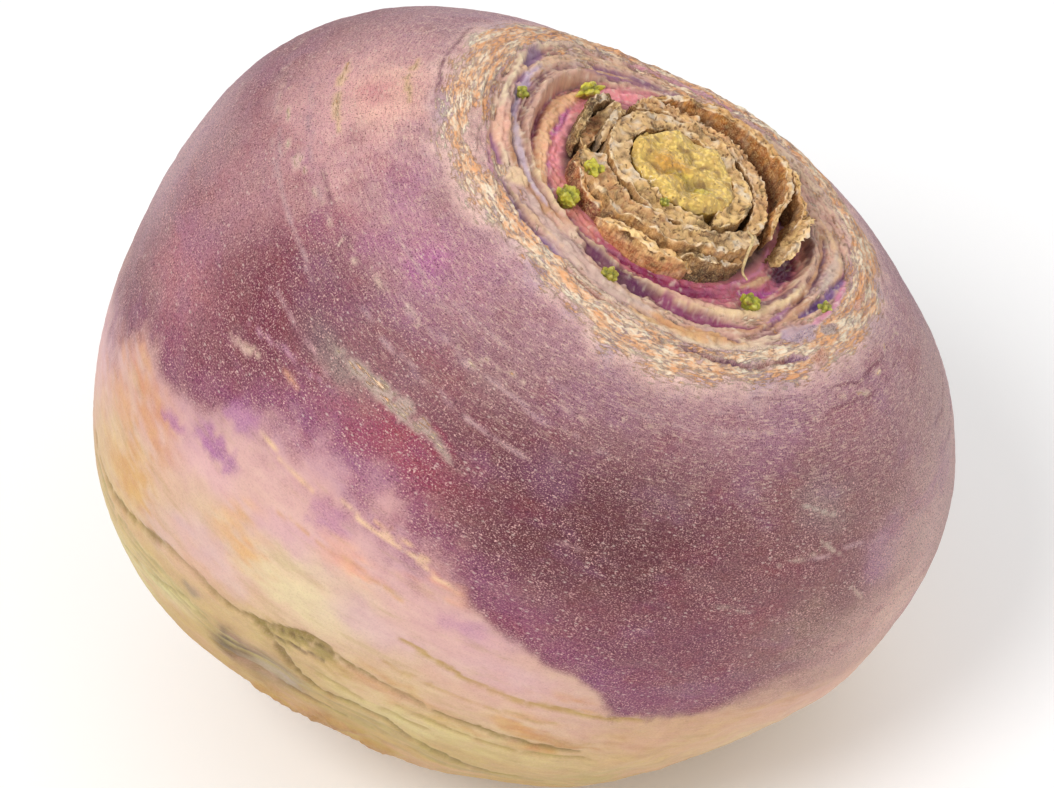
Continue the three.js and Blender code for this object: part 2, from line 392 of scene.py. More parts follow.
def grain_group():
    """The skin's fine grain: Light is 1 on the pale grains and Dark is 1 in the gaps between them."""
    inputs = [("Place", VECTOR, None), ("Size", FLOAT, 0.3)]
    tree, bench, given = new_group("Fine grain", inputs, [("Light", FLOAT), ("Dark", FLOAT)])
    scale = bench.math("DIVIDE", 1.0, given.outputs["Size"])
    grain = bench.noise(given.outputs["Place"], scale, 2.0, 0.6)
    cover = bench.noise(given.outputs["Place"], 0.22, 3.0, 0.6)
    light = bench.times(bench.remap(grain, 0.52, 0.68), bench.remap(cover, 0.3, 0.62, 0.35, 1.0))
    bench.add("NodeGroupOutput", {0: light, 1: bench.remap(grain, 0.5, 0.3)})
    return tree


SPECKLE, MOTTLE, CORK, GRAIN = speckle_group(), mottle_group(), cork_group(), grain_group()


def new_material(name):
    material = bpy.data.materials.new(name)
    material.use_nodes = True
    material.node_tree.nodes.clear()
    return material, Bench(material.node_tree)


def finish_material(bench, colour, roughness, height, height_mm, strength=1.0, **plain):
    """Joins colour, roughness and a bump of height_mm to a Principled shader. plain sets other sockets."""
    bump = bench.add("ShaderNodeBump", {"Height": height, "Strength": strength, "Distance": height_mm * MM})
    inputs = {"Base Color": colour, "Roughness": roughness, "Normal": bump.outputs[0]}
    shader = bench.add("ShaderNodeBsdfPrincipled", inputs)
    for label, value in plain.items():
        socket = shader.inputs[label.replace("_", " ")]
        if isinstance(value, bpy.types.NodeSocket):
            bench.tree.links.new(value, socket)
        else:
            socket.default_value = value
    bench.add("ShaderNodeOutputMaterial", {"Surface": shader.outputs[0]})


def skin_material():
    """Skin, neck cork and crown tissue of the root, by the marks that the root's mesh carries."""
    material, bench = new_material("turnip_skin")
    place = bench.mark("unrolled").outputs["Vector"]
    ground = bench.mark("ground").outputs["Vector"]
    purple, cork, wet = (bench.mark(name).outputs["Fac"] for name in ("purple", "cork", "wet"))

    def stretch(round_it, down_it):
        return bench.stretched(place, (round_it, round_it, down_it))

    # Clouds of crimson, violet and grey over the purple.
    drawn_out = stretch(0.75, 1.2)
    crimson = bench.remap(bench.noise(drawn_out, 0.13, 5.0, 0.62), 0.5, 0.68)
    violet = bench.remap(bench.noise(bench.moved(drawn_out, 40.0), 0.11, 5.0, 0.62), 0.5, 0.68)
    grey = bench.remap(bench.noise(bench.moved(drawn_out, 90.0), 0.16, 6.0, 0.66), 0.5, 0.7)
    colour = bench.lay(ground, "8c2f44", crimson, purple, 0.36)
    colour = bench.lay(colour, "9a5f8c", violet, purple, 0.3)
    colour = bench.lay(colour, "a48880", grey, purple, 0.22)
    inputs = {"Place": drawn_out, "Colour": colour, "Size": 2.2, "Amount": 0.35}
    colour = bench.group(MOTTLE, inputs).outputs["Colour"]

    # Pink and olive clouds on the cream.
    cream = bench.minus(1.0, purple)
    blush = bench.remap(bench.noise(bench.moved(drawn_out, 20.0), 0.12, 4.0, 0.6), 0.48, 0.66)
    olive = bench.remap(bench.noise(bench.moved(stretch(0.4, 1.6), 60.0), 0.3, 5.0, 0.66), 0.52, 0.72)
    dull = bench.minus(1.0, cork, clamp=True)
    plain = bench.times(cream, bench.times(dull, bench.minus(1.0, wet)))
    colour = bench.lay(colour, "dba795", blush, plain, 0.3)
    colour = bench.lay(colour, "a98f55", olive, plain, 0.28)

    # Fine grain, strong on the purple and faint on the cream.
    grains = bench.group(GRAIN, {"Place": stretch(0.85, 1.1), "Size": 0.19})
    amount = bench.plus(0.14, bench.times(purple, 0.86))
    amount = bench.times(amount, bench.minus(1.0, wet))
    colour = bench.lay(colour, "42141f", grains.outputs["Dark"], amount, 0.85)
    colour = bench.lay(colour, "f0bcb6", grains.outputs["Light"], amount, 0.98)
    # Pale dots on the purple: partly the skin's own pale flecks and partly painted glints of its waxy sparkle.
    inputs = {"Place": stretch(0.62, 1.15), "Size": 0.46, "Share": 0.12}
    dots = bench.group(SPECKLE, inputs).outputs[0]
    colour = bench.lay(colour, "ecd3c6", bench.times(dots, purple), 0.5)

    # Pale dashes along the skin, most of them near the neck.
    down_skin = bench.add("ShaderNodeSeparateXYZ", {0: place}).outputs[2]
    near_neck = bench.remap(down_skin, 30.0, 60.0, 1.0, 0.15)
    dash_noise = bench.noise(stretch(0.4, 2.3), 1.9, 4.0, 0.7)
    on_upper = bench.times(near_neck, purple)
    dashes = bench.times(bench.remap(dash_noise, 0.52, 0.66), on_upper)
    gaps = bench.times(bench.remap(dash_noise, 0.48, 0.36), on_upper)
    colour = bench.lay(colour, "7c4654", gaps, 0.4)
    colour = bench.lay(colour, "eccab4", dashes, 0.66)

    # Cork.
    flakes = bench.group(CORK, {"Place": stretch(0.27, 1.75), "Cover": cork})
    flakes.inputs["Light"].default_value = (*tint("fff2d6"), 1)
    flakes.inputs["Dark"].default_value = (*tint("f4b078"), 1)
    corky = flakes.outputs["Mask"]
    colour = bench.lay(colour, flakes.outputs["Colour"], corky, 0.9)

    creases = bench.noise(stretch(0.35, 2.2), 0.9, 4.0, 0.6)
    bumps = bench.noise(place, 2.8, 2.0, 0.6)
    height = bench.plus(bench.times(creases, 0.6), bench.times(bumps, 0.4))
    height = bench.plus(height, bench.times(grains.outputs["Light"], bench.times(amount, 0.5)))
    height = bench.plus(height, flakes.outputs["Height"])

    rough = bench.plus(0.4, bench.times(bumps, 0.24))
    rough = bench.plus(rough, bench.times(corky, 0.3))
    rough = bench.minus(rough, bench.times(wet, 0.25))
    coat = bench.times(wet, 0.4)
    gloss = {"Coat_Weight": coat, "Coat_Roughness": 0.15, "Specular_IOR_Level": 0.45}
    finish_material(bench, colour, rough, height, 0.16, **gloss)
    return material


# ---------------------------------------------------------------- root

CREAM, PLUM, MAUVE = "d2b186", "824853", "b98a94"

# Lower edge of the purple: azimuth, polar angle.
PURPLE_EDGE = [
    (0, 87), (30, 89), (60, 92), (90, 90), (120, 87), (150, 90), (170, 94), (188, 95), (198, 92), (205, 85),
    (210, 86), (215, 85), (219, 82), (222, 79), (226, 75), (230, 73.5), (240, 74), (250, 75),
    (257, 77.5), (265, 80), (275, 84), (285, 88),
    (292, 91.5), (300, 91.5), (306, 88.5), (315, 86), (325, 86), (340, 87),
]
# How gradual that edge is, in degrees.
EDGE_BLUR = [
    (0, 7), (60, 5), (120, 5), (170, 8), (195, 5), (205, 3), (210, 1.6), (222, 1.8), (229, 6), (248, 6),
    (258, 3), (264, 1.2), (305, 1.2), (318, 6),
]

# Soft patches on the skin: azimuth, polar angle, half width and half height in degrees, colour, strength.
SKIN_PATCHES = [
    (185, 50, 28, 12, "e6aeae", 0.85),
    (180, 45, 12, 5, "fac0ae", 0.9),
    (178, 47, 4, 2.5, "dc8c90", 0.7),
    (204, 45, 6, 3, "c47fa8", 0.6),
    (222, 46, 14, 7, "c4849c", 0.8),
    (223, 47.5, 5, 3, "b45c9a", 0.6),
    (214, 52, 4, 3, "a8588c", 0.45),
    (206, 56, 4, 5, "9c3a64", 0.5),
    (192, 66, 12, 9, "c08890", 0.7),
    (214, 68, 12, 9, "76223c", 0.9),
    (218, 60, 8, 4, "7a3a5c", 0.6),
    (255, 50, 18, 5, "a2767a", 0.6),
    (275, 63, 28, 12, "5a1424", 0.92),
    (262, 58, 6, 4, "7c4468", 0.6),
    (283, 56, 8, 4, "7a5058", 0.6),
    (292, 80, 14, 8, "76304a", 0.8),
    (240, 67, 11, 5, "9c2a4c", 0.9),
    (240, 74, 15, 4, "b8788c", 0.8),
    (230, 64, 6, 2.5, "8a7a72", 0.75),
    (222, 64.5, 5, 2.5, "7a6468", 0.5),
    (315, 60, 15, 14, "804e50", 0.75),
    (317, 55, 7, 5, "94807c", 0.6),
    (318, 76, 10, 7, "947063", 0.7),
    (330, 66, 5, 4, "a0688e", 0.7),
    (340, 66, 10, 9, "d0aaa2", 0.75),
    (338, 80, 16, 9, "e8c0ae", 0.85),
    (0, 62, 28, 16, "cdaaa2", 0.7),
    (172, 80, 14, 14, "cda6ac", 0.75),
    (198, 78, 10, 6, "c27884", 0.7),
    (75, 60, 30, 18, "96636e", 0.5),
    (110, 70, 18, 12, "8a5464", 0.5),
    (45, 78, 16, 10, "b98a92", 0.5),
    (20, 50, 14, 8, "8a5a70", 0.6),
    (95, 82, 12, 5, "7a3458", 0.7),
    (130, 50, 20, 10, "b08090", 0.6),
    (62, 44, 16, 6, "a8748c", 0.6),
    (122, 84, 12, 5, "8a3a60", 0.6),
    (352, 84, 10, 4, "a05070", 0.5),
    (145, 66, 10, 8, "8e5468", 0.6),
]
# Strength of the magenta rim inside the purple's edge and of the pink below it, by azimuth.
MAGENTA_RIM = [
    (0, 0.3), (90, 0.5), (190, 0.2), (207, 1), (232, 0.9), (242, 0.3), (256, 0.7), (266, 1), (300, 0.9),
    (312, 0.3), (330, 0.2),
]
PINK_BELOW = [
    (0, 0.4), (90, 0.4), (190, 0.9), (205, 0.5), (225, 1), (262, 1), (285, 0.6), (300, 0.3), (330, 0.7),
]
# Strength of the mauve veil on the cream right at that edge, by azimuth, and of the blotches in it.
EDGE_VEIL = [(0, 0.2), (198, 0.3), (212, 0.6), (228, 0.8), (252, 0.75), (262, 0.2), (300, 0.2)]
EDGE_BLOTCHES = [(190, 0.2), (200, 0.8), (208, 0.3), (222, 0.3), (229, 1), (250, 1), (262, 0.2)]
# Streaky stains on the cream: azimuth, polar angle, half width and half height in degrees, colour, strength.
STAINS = [
    (206, 92, 11, 5, "d08a58", 0.75),
    (213, 99, 6, 8, "cf9858", 0.7),
    (232, 91, 4, 5, "dca468", 0.75),
    (236, 94, 4, 3, "d89c60", 0.6),
    (246, 84, 5, 2.5, "e4a080", 0.8),
    (256, 79, 5, 2, "df9a7c", 0.7),
    (280, 99, 5, 3, "cf9454", 0.8),
    (287, 102, 6, 2.5, "c48c4c", 0.8),
    (282, 92, 5, 1.5, "d0985c", 0.8),
    (197, 100, 6, 6, "d9a070", 0.35),
    (216, 102, 14, 4, "cf9c5c", 0.6),
    (262, 102, 24, 3, "c08c4c", 0.65),
    (296, 100, 11, 3, "b58a50", 0.6),
    (300, 112, 14, 6, "b09c58", 0.6),
    (320, 92, 12, 4, "c39058", 0.5),
    (246, 104, 9, 4, "a2904e", 0.6),
    (270, 118, 30, 8, "a8985a", 0.5),
    (215, 116, 20, 8, "c8a25c", 0.5),
    (30, 105, 30, 8, "c49a60", 0.5),
    (100, 108, 24, 8, "bb9458", 0.5),
    (140, 100, 18, 6, "c79a68", 0.5),
]
# Soft patches on the cream, in the form of SKIN_PATCHES.
CREAM_PATCHES = [
    (212, 88, 8, 5, "deb083", 0.6),
    (192, 97, 10, 11, "e0bcc0", 0.85),
    (247, 88, 30, 12, "d2ae9a", 0.7),
    (243, 92, 10, 5, "e0cf9e", 0.85),
    (249, 86, 6, 2.5, "e2cc9c", 0.7),
    (232, 82, 6, 2, "e2c49c", 0.5),
    (258, 83, 5, 1.6, "e4c49a", 0.6),
    (254, 91, 7, 3, "d6b2ae", 0.75),
    (266, 84, 7, 2.5, "cfa2a8", 0.75),
    (272, 90, 9, 3, "d2b0aa", 0.75),
    (229, 99, 6, 4, "d4aeae", 0.8),
    (221, 103, 5, 4, "ccaaa8", 0.7),
    (237, 86, 7, 2.5, "d2a4ac", 0.7),
    (224, 87, 7, 2.5, "dcaeb0", 0.7),
    (208, 104, 12, 10, "dcba8c", 0.6),
    (255, 112, 40, 9, "c4a468", 0.7),
    (212, 119, 9, 7, "d6c68c", 0.85),
    (223, 114, 7, 4, "d2c88e", 0.85),
    (266, 106, 14, 3.5, "d4c288", 0.85),
    (284, 106, 12, 3, "ceb67a", 0.7),
    (228, 108, 2.2, 1.3, "94826a", 0.8),
    (241, 115.5, 7, 5.5, "74523a", 1.0),
    (243.5, 116, 3.8, 3, "b39f8a", 0.9),
    (237, 114.2, 2.6, 3.4, "3c281c", 1.0),
    (306, 97, 18, 10, "c8a058", 0.85),
    (0, 105, 50, 14, "dcc09c", 0.4),
    (100, 110, 40, 12, "d8bc8c", 0.5),
]
# Stray purple below the edge: azimuth, polar angle, half width and half height in degrees, strength.
STRAY_PURPLE = [
    (215, 88, 2.6, 1.1, 0.7),
    (223, 84.5, 4, 1.7, 0.85),
    (223, 78.5, 2.6, 2.2, 0.6),
    (240, 80, 3.6, 2.2, 0.6),
    (263, 83.5, 5, 1.5, 0.3),
    (246, 88, 6, 2, 0.12),
]

# Lines along the skin: azimuth and polar angle of points on them, half width in mm, colour, rise in mm and
# how corky they are.
SKIN_LINES = [
    ([(198, 108), (210, 108), (223, 104.3), (230, 104), (236, 104), (240, 102.4), (246, 99.4),
      (251, 100), (257, 101),
      (270, 102), (292, 102.6)], 0.4, "937a42", -0.4, 0),
    ([(238.5, 103.7), (242, 103), (246, 101.4), (252, 101)], 1.35, "94803f", -0.25, 0.12),
    ([(238.5, 103.4), (242, 105), (247, 109), (251, 111), (255, 112.2)], 0.8, "836c38", -0.5, 0.15),
    ([(239.5, 103.9), (244, 103), (249.5, 101.7)], 0.2, "c8ac6c", 0.15, 0.1),
    ([(240.5, 104.6), (245, 103.6), (250.5, 102.4)], 0.2, "624c2a", -0.2, 0),
    ([(242, 102.4), (246, 100.9), (251, 100.3)], 0.2, "70582e", -0.2, 0),
    ([(251, 111.4), (257, 110.3), (262, 110), (268, 113), (279, 115),
      (290, 115.5)], 0.55, "94804a", -0.4, 0),
    ([(206, 118), (219, 115), (228, 111), (234, 113)], 0.35, "a8945c", -0.25, 0),
    ([(246, 105.5), (258, 107), (270, 107.5)], 0.3, "b0965c", -0.2, 0),
    ([(232, 117), (244, 119), (258, 118)], 0.4, "8f7648", -0.3, 0),
    ([(262, 104.5), (280, 105), (296, 104)], 0.3, "b09458", -0.2, 0),
    ([(256, 90.3), (260, 91), (266, 92), (272, 93), (280, 93.2), (288, 93.2),
      (298, 92.8)], 0.36, "b4904e", -0.25, 0.1),
    ([(256, 96), (270, 97), (285, 96)], 0.25, "bf9a68", -0.12, 0),
    ([(224.5, 77.6), (228, 78), (232, 78.2), (237, 78.2)], 0.18, "e6bd92", 0.1, 0.05),
    ([(240, 76.7), (244, 76.9), (250, 77.1), (255, 77.5), (261, 78.8)], 0.3, "efc69c", 0.12, 0.05),
    ([(243, 75.7), (249, 75.9), (255, 76.6)], 0.2, "e6b890", 0.08, 0.05),
    ([(234, 84), (246, 83.5), (256, 84.5)], 0.22, "cf9c7c", 0.05, 0.1),
    ([(224, 63.4), (231, 62.3), (237, 62), (244, 62.4), (250, 63.3)], 0.95, "bda698", 0.15, 0.42),
    ([(243, 61.2), (247, 61.6), (250.5, 62.8)], 0.3, "8e2444", -0.1, 0),
    ([(242, 63.8), (247, 64.2), (251, 64)], 0.3, "8e2444", -0.1, 0),
    ([(213.6, 73.4), (216, 72.7), (219.4, 71.5)], 0.5, "e4c4aa", 0.1, 0.3),
    ([(213, 70.6), (222, 68.6), (228, 66.8)], 0.2, "c890a4", 0.06, 0),
    ([(222, 70.1), (226.4, 70.2)], 0.35, "dc9c78", 0.06, 0.2),
    ([(210, 66), (219, 65), (230, 66.4)], 0.2, "b88a90", 0.05, 0),
    ([(168, 41.5), (176, 42.3), (184, 41.8)], 0.4, "e0b98a", 0.15, 0.45),
    ([(170, 51), (180, 51.5), (189, 51)], 0.5, "e3bd93", 0.1, 0.42),
    ([(172, 60), (182, 60.3)], 0.22, "d3aca0", 0.05, 0.3),
    ([(189, 57), (194, 57.4)], 0.6, "e6c3b2", 0.1, 0.45),
    ([(212, 73.5), (218, 73)], 0.35, "e0bcac", 0.08, 0.4),
    ([(310, 55), (318, 57.5)], 0.25, "c9b8aa", 0.08, 0.3),
    ([(314, 60), (320, 64)], 0.3, "c4ae9e", 0.08, 0.35),
    ([(306, 64), (315, 61.5)], 0.2, "c4ae9e", 0.06, 0.3),
    ([(322, 68), (327, 73)], 0.25, "d3b8a6", 0.06, 0.3),
    ([(296, 70), (306, 70.5)], 0.2, "a58a80", 0.05, 0.2),
    ([(268, 66), (280, 66.4)], 0.16, "a87c80", 0.05, 0.2),
]


# Steps that spread a row of things evenly and hardly ever repeat: in degrees either way round the root, and
# in shares of 1.
GOLDEN_STEP, GOLDEN_BACK = 137.508, 222.492
STEP_A, STEP_B, STEP_C, STEP_D = 0.6180, 0.7548, 0.5698, 0.3819


def arc(start, high, length, drop):
    """Three points on a line that starts at (start, high) and runs round the root."""
    return [(start + length * part, high + drop * part) for part in (0, 0.5, 1)]


def scratches():
    """Short pale scratches and flecks spread over the upper skin, in the form of SKIN_LINES."""
    lines = []
    for i in range(70):
        start = i * GOLDEN_STEP % 360
        high = 40 + 46 * (i * STEP_A % 1) ** 1.3
        length = 1.2 + 6.5 * (i * STEP_B % 1) ** 2
        slope = 1.2 * math.sin(i * 1.7)
        half = 0.12 + 0.24 * (i * STEP_C % 1) ** 2
        lines.append(([(start, high), (start + length, high + slope)], half, "e6c8b2", 0.06, 0.3 * (i % 3)))
    return lines


def fine_rings():
    """Thin pale and dark arcs round the upper skin, in the form of SKIN_LINES."""
    lines = []
    for i in range(44):
        high = 38 + 27 * (i * STEP_B % 1) ** 1.2
        path = arc(i * GOLDEN_BACK % 360, high, 16 + 34 * (i * STEP_A % 1), 0.8 * math.sin(i * 1.9))
        colour, lift = ("83525f", -0.05) if i % 3 == 0 else ("c39c9e", 0.05)
        lines.append((path, 0.12 + 0.1 * (i * STEP_C % 1), colour, lift, 0))
    return lines


def growth_lines():
    """Faint creases round the lower half, in the form of SKIN_LINES."""
    lines = []
    for i in range(26):
        low = 94 + 32 * (i * STEP_A % 1)
        path = arc(i * GOLDEN_BACK % 360, low, 14 + 40 * (i * STEP_B % 1), 2.5 * math.sin(i * 1.3))
        lines.append((path, 0.16 + 0.2 * (i * STEP_C % 1), "b09a64", -0.14, 0))
    return lines


# Shallow dents: azimuth, polar angle, half width and half height in degrees, depth in mm.
DENTS = [
    (182, 86, 22, 20, 0.7), (256, 118, 14, 8, 0.6), (290, 122, 10, 9, 0.7), (319, 106, 16, 10, 0.9),
    (242, 115.5, 5, 4.5, 0.8),
]

# Strokes on the crown: azimuth and radius of points on them, half width in mm, colour, strength, rise in mm
# and how wet they are.
CROWN_STROKES = [
    # pink and magenta trough, and the cream ledge round it
    ([(90, 17), (118, 17), (150, 16.2), (180, 15.7), (204, 15.8)], 1.1, "ff9da3", 0.88, -0.1, 0.8),
    ([(196, 15.9), (210, 16.2), (230, 16.6), (246, 16.6)], 1.4, "e28c81", 0.9, -0.1, 0.8),
    ([(236, 16.2), (262, 16.6), (300, 17), (322, 17.5), (340, 17.6)], 1.6, "b75a72", 0.9, -0.1, 0.9),
    ([(245, 17), (270, 16.9), (300, 17.1)], 0.8, "8c2a58", 0.9, -0.3, 1),
    ([(334, 16.4), (345, 17.2), (358, 17.6)], 1.7, "5c2044", 0.9, -0.6, 1),
    ([(308, 16.8), (320, 17.6), (332, 18.6)], 0.7, "b04a90", 0.9, -0.3, 1),
    ([(312, 16.2), (322, 16.4), (338, 16.6)], 0.5, "dcb080", 0.8, 0.2, 0.4),
    ([(150, 16.2), (168, 16.0), (186, 16.9), (200, 17)], 0.6, "c45c98", 0.9, 0, 1),
    ([(132, 18.0), (150, 17.6), (168, 17.2), (185, 17.4), (200, 18.2),
      (215, 18.8)], 1.0, "ffc796", 0.95, 0.3, 0.4),
    ([(150, 18.9), (170, 18.3), (195, 18.6)], 0.22, "9c4560", 0.9, -0.3, 0.6),
    ([(195, 19.4), (215, 19.5), (235, 19.2), (250, 19.1), (275, 19.4), (300, 20.2), (322, 20.8),
      (334, 20.6)], 0.5, "f2d0a2", 0.95, 0.35, 0.2),
    ([(262, 19.0), (285, 19.3), (300, 19.4)], 0.6, "dca094", 0.7, 0.2, 0.5),
    ([(120, 19.5), (150, 19.6), (175, 19.6), (195, 20.3)], 0.6, "dcae98", 0.9, 0.3, 0.2),
    ([(66, 20.3), (100, 20.1), (134, 20.2)], 0.6, "9a6080", 0.8, 0.1, 0.3),
    ([(56, 22.3), (90, 22.1), (126, 22)], 0.5, "7e4e7a", 0.8, -0.3, 0.2),
    # violet grooves
    ([(208, 24.6), (215, 25), (222, 25.2), (235, 25.2), (243, 25)], 0.5, "8f62a0", 0.95, -0.7, 0.6),
    ([(209, 24.1), (218, 24.4), (227, 24.5)], 0.16, "6a4350", 0.8, -0.4, 0),
    ([(235, 19.9), (243, 20.3), (254, 20.5), (263, 20.4), (274, 20.2)], 1.15, "5e1446", 1.0, -0.8, 0.25),
    ([(268, 20.3), (280, 20.5), (290, 21), (300, 21.7), (308, 22.4)], 0.55, "8c2c62", 0.95, -0.5, 0.6),
    ([(306, 23.2), (314, 22.6), (326, 21.8), (338, 21.6), (352, 21.3),
      (8, 21.6)], 0.22, "74405a", 0.9, -0.45, 0.4),
    ([(310, 22.4), (318, 21.9), (327, 21.2)], 0.35, "9c5aa0", 0.8, -0.3, 0.6),
    ([(324, 23.2), (334, 23.4), (344, 23.9), (356, 24.7)], 0.55, "775090", 0.95, -0.7, 0.5),
    ([(278, 26.3), (284, 26.5), (295, 26.9), (305, 27.5), (318, 28)], 0.25, "8a5a50", 0.85, -0.5, 0),
    ([(290, 26.8), (299, 27)], 0.55, "6a2f62", 0.95, -0.6, 0.5),
    ([(279, 26.4), (284, 26.4)], 0.45, "6a3f60", 0.8, -0.5, 0.2),
    ([(294, 23.8), (301, 24)], 0.5, "6a3560", 0.9, -0.6, 0.4),
    ([(189, 24.8), (196, 24.4), (203, 23.7)], 0.5, "9a5c98", 0.85, -0.4, 0.3),
    ([(311, 27.6), (319, 28)], 0.35, "9670a0", 0.8, -0.3, 0),
    ([(141, 24.4), (148, 24.6), (156, 23.4)], 1.0, "7a558a", 0.8, -0.6, 0.3),
    ([(150, 22.4), (160, 22.6), (170, 22.1), (180, 21.7)], 0.6, "c3aecb", 0.85, -0.5, 0.3),
    ([(158, 22.9), (168, 23.2)], 0.35, "a06f94", 0.8, -0.5, 0.3),
    ([(176, 21.6), (190, 21.2), (205, 20.8), (222, 20.9)], 0.3, "c8b4c4", 0.8, 0.1, 0.2),
    ([(170, 20.9), (188, 20.5), (205, 20.2), (225, 20.4)], 0.16, "8c5f56", 0.85, -0.35, 0),
    ([(172, 22.3), (186, 21.9), (200, 21.5), (212, 21.6)], 0.16, "8a6470", 0.85, -0.35, 0),
    # flat leaf scars between them
    ([(178, 23.6), (190, 23.4), (198, 23)], 1.1, "eeb6a0", 0.9, 0, 0.1),
    ([(212, 22.4), (225, 22.6), (240, 23), (252, 23.9), (265, 23.2),
      (272, 23)], 0.95, "d2b4a8", 0.9, 0.1, 0),
    ([(313, 25), (320, 25), (326, 25.4)], 1.6, "b9a3b4", 0.9, 0, 0),
    ([(182, 27), (195, 26.9), (207, 26.6)], 1.4, "f2c8bc", 0.85, -0.1, 0),
    ([(338, 22.6), (350, 22.8), (4, 23)], 0.6, "d3bfae", 0.8, 0.1, 0),
    ([(326, 26.7), (332, 26.9)], 0.9, "958a82", 0.8, 0, 0),
    # cork left standing on the ledges: flaky cream and orange
    ([(204, 22.6), (209, 22.8), (213, 22.4)], 1.4, "ecc9a0", 0.9, 0.4, 0),
    ([(268, 23.4), (280, 23.9), (292, 23.7), (302, 24.6)], 0.8, "d9a066", 0.8, 0.35, 0),
    ([(262, 24.6), (275, 24.4)], 0.6, "e4b57e", 0.8, 0.3, 0),
    ([(241, 26.3), (250, 26.6), (260, 26.2)], 0.22, "a8603e", 0.85, -0.4, 0),
    ([(318, 28.7), (324, 28.9)], 1.0, "e2ab78", 0.9, 0.3, 0),
    ([(340, 27.3), (350, 27.5)], 0.5, "db8f60", 0.7, 0.2, 0),
]

# Thin edges of shed leaves between them: colour, strength, rise in mm, wet.
FINE_STROKES = [
    ("f0d8b4", 0.85, 0.25, 0.2),
    ("6b2c4c", 0.8, -0.3, 0.5),
    ("d77fa4", 0.7, 0.1, 0.8),
    ("c08a5c", 0.7, 0.15, 0),
    ("8d5c8c", 0.75, -0.25, 0.4),
    ("e6bf94", 0.8, 0.2, 0.1),
    ("53263a", 0.8, -0.35, 0.3),
]


def fine_strokes():
    """Short thin strokes spread over the crown's trough and ledges, in the form of CROWN_STROKES."""
    strokes = []
    for i in range(130):
        start = i * GOLDEN_STEP % 360
        length = 14 + 38 * (i * STEP_B % 1)
        radius = 15.4 + 10.4 * (i * STEP_C % 1)
        drawn_in = 0.9 * math.sin(i * 2.1)
        half = 0.09 + 0.15 * (i * STEP_D % 1)
        colour, strength, lift, gloss = FINE_STROKES[i % len(FINE_STROKES)]
        path = [(start + length * part, radius + drawn_in * part * part) for part in (0, 0.5, 1)]
        strokes.append((path, half, colour, strength, lift, gloss))
    return strokes


# Cork on the neck: how far out it reaches, by azimuth.
CORK_OUTER = [
    (0, 30.5), (40, 31), (90, 30.5), (140, 31), (175, 30.8), (200, 30), (215, 29.5), (235, 28.8), (250, 29.8),
    (262, 30.4), (280, 29.6), (300, 29.2), (320, 29.8), (340, 30.6),
]
CORK_INNER = 25.2


def line_mask(path, half, azimuth, radius, spacing, waver=0):
    """1 on a line through points of (azimuth, radius) and 0 beyond its half width.

    The line narrows to a point at both ends. spacing is mm per degree of azimuth, and waver, about -1 to 1,
    makes the line wider or narrower.
    """
    angles = np.unwrap([a for a, _ in path], period=360)
    wrapped = azimuth + 360 * np.ceil((angles[0] - 30 - azimuth) / 360)
    middle = np.interp(wrapped, angles, [r for _, r in path])
    length = (angles[-1] - angles[0]) * spacing
    run = (wrapped - angles[0]) * spacing
    nib = min(length / 2, 7 * half + 1)
    narrow = np.clip(np.minimum(run, length - run) / nib, 0, 1) ** 0.6
    width = half * narrow * (1 + 0.45 * waver)
    inside = (run > 0) & (run < length)
    soft = 0.1 + 0.25 * half
    return inside * (1 - blur_step(-soft, soft, np.abs(radius - middle) - width)) * blur_step(0, 0.25, narrow)


def patch_mask(azimuth, polar, at, down, half_across, half_down):
    """A soft round patch, 1 in the middle."""
    sideways = (azimuth - at + 180) % 360 - 180
    return soft_spot(sideways, polar - down, half_across, half_down)


def paint_patches(ground, patches, azimuth, polar, cover=1):
    """Paints patches, in the form of SKIN_PATCHES, over the ground. cover thins them."""
    for at, low, across, tall, colour, strength in patches:
        mask = patch_mask(azimuth, polar, at, low, across, tall)
        ground = paint(ground, colour, strength * mask * cover)
    return ground


def root_rows():
    """Polar angles of the root's rows: fine across the crown, coarser down the skin."""
    radii = np.concatenate([np.arange(1.5, 12, 1.5), np.arange(12, 33, 0.21)])
    crown = np.arctan2(radii, dome_height(radii))
    skin = np.linspace(crown[-1], math.pi, 236)[1:-1]
    return np.concatenate([crown, skin])


# Height of the neck's ledges above the smooth dome, by radius.
NECK_LEDGES = [
    (19, -1.4), (20, -1.1), (21.2, -1.7), (22.4, -1.0), (24.6, -0.7), (25.6, 0.1), (27, 0.55), (28.4, 0.3),
    (29.6, 0.35), (NECK_EDGE, 0),
]


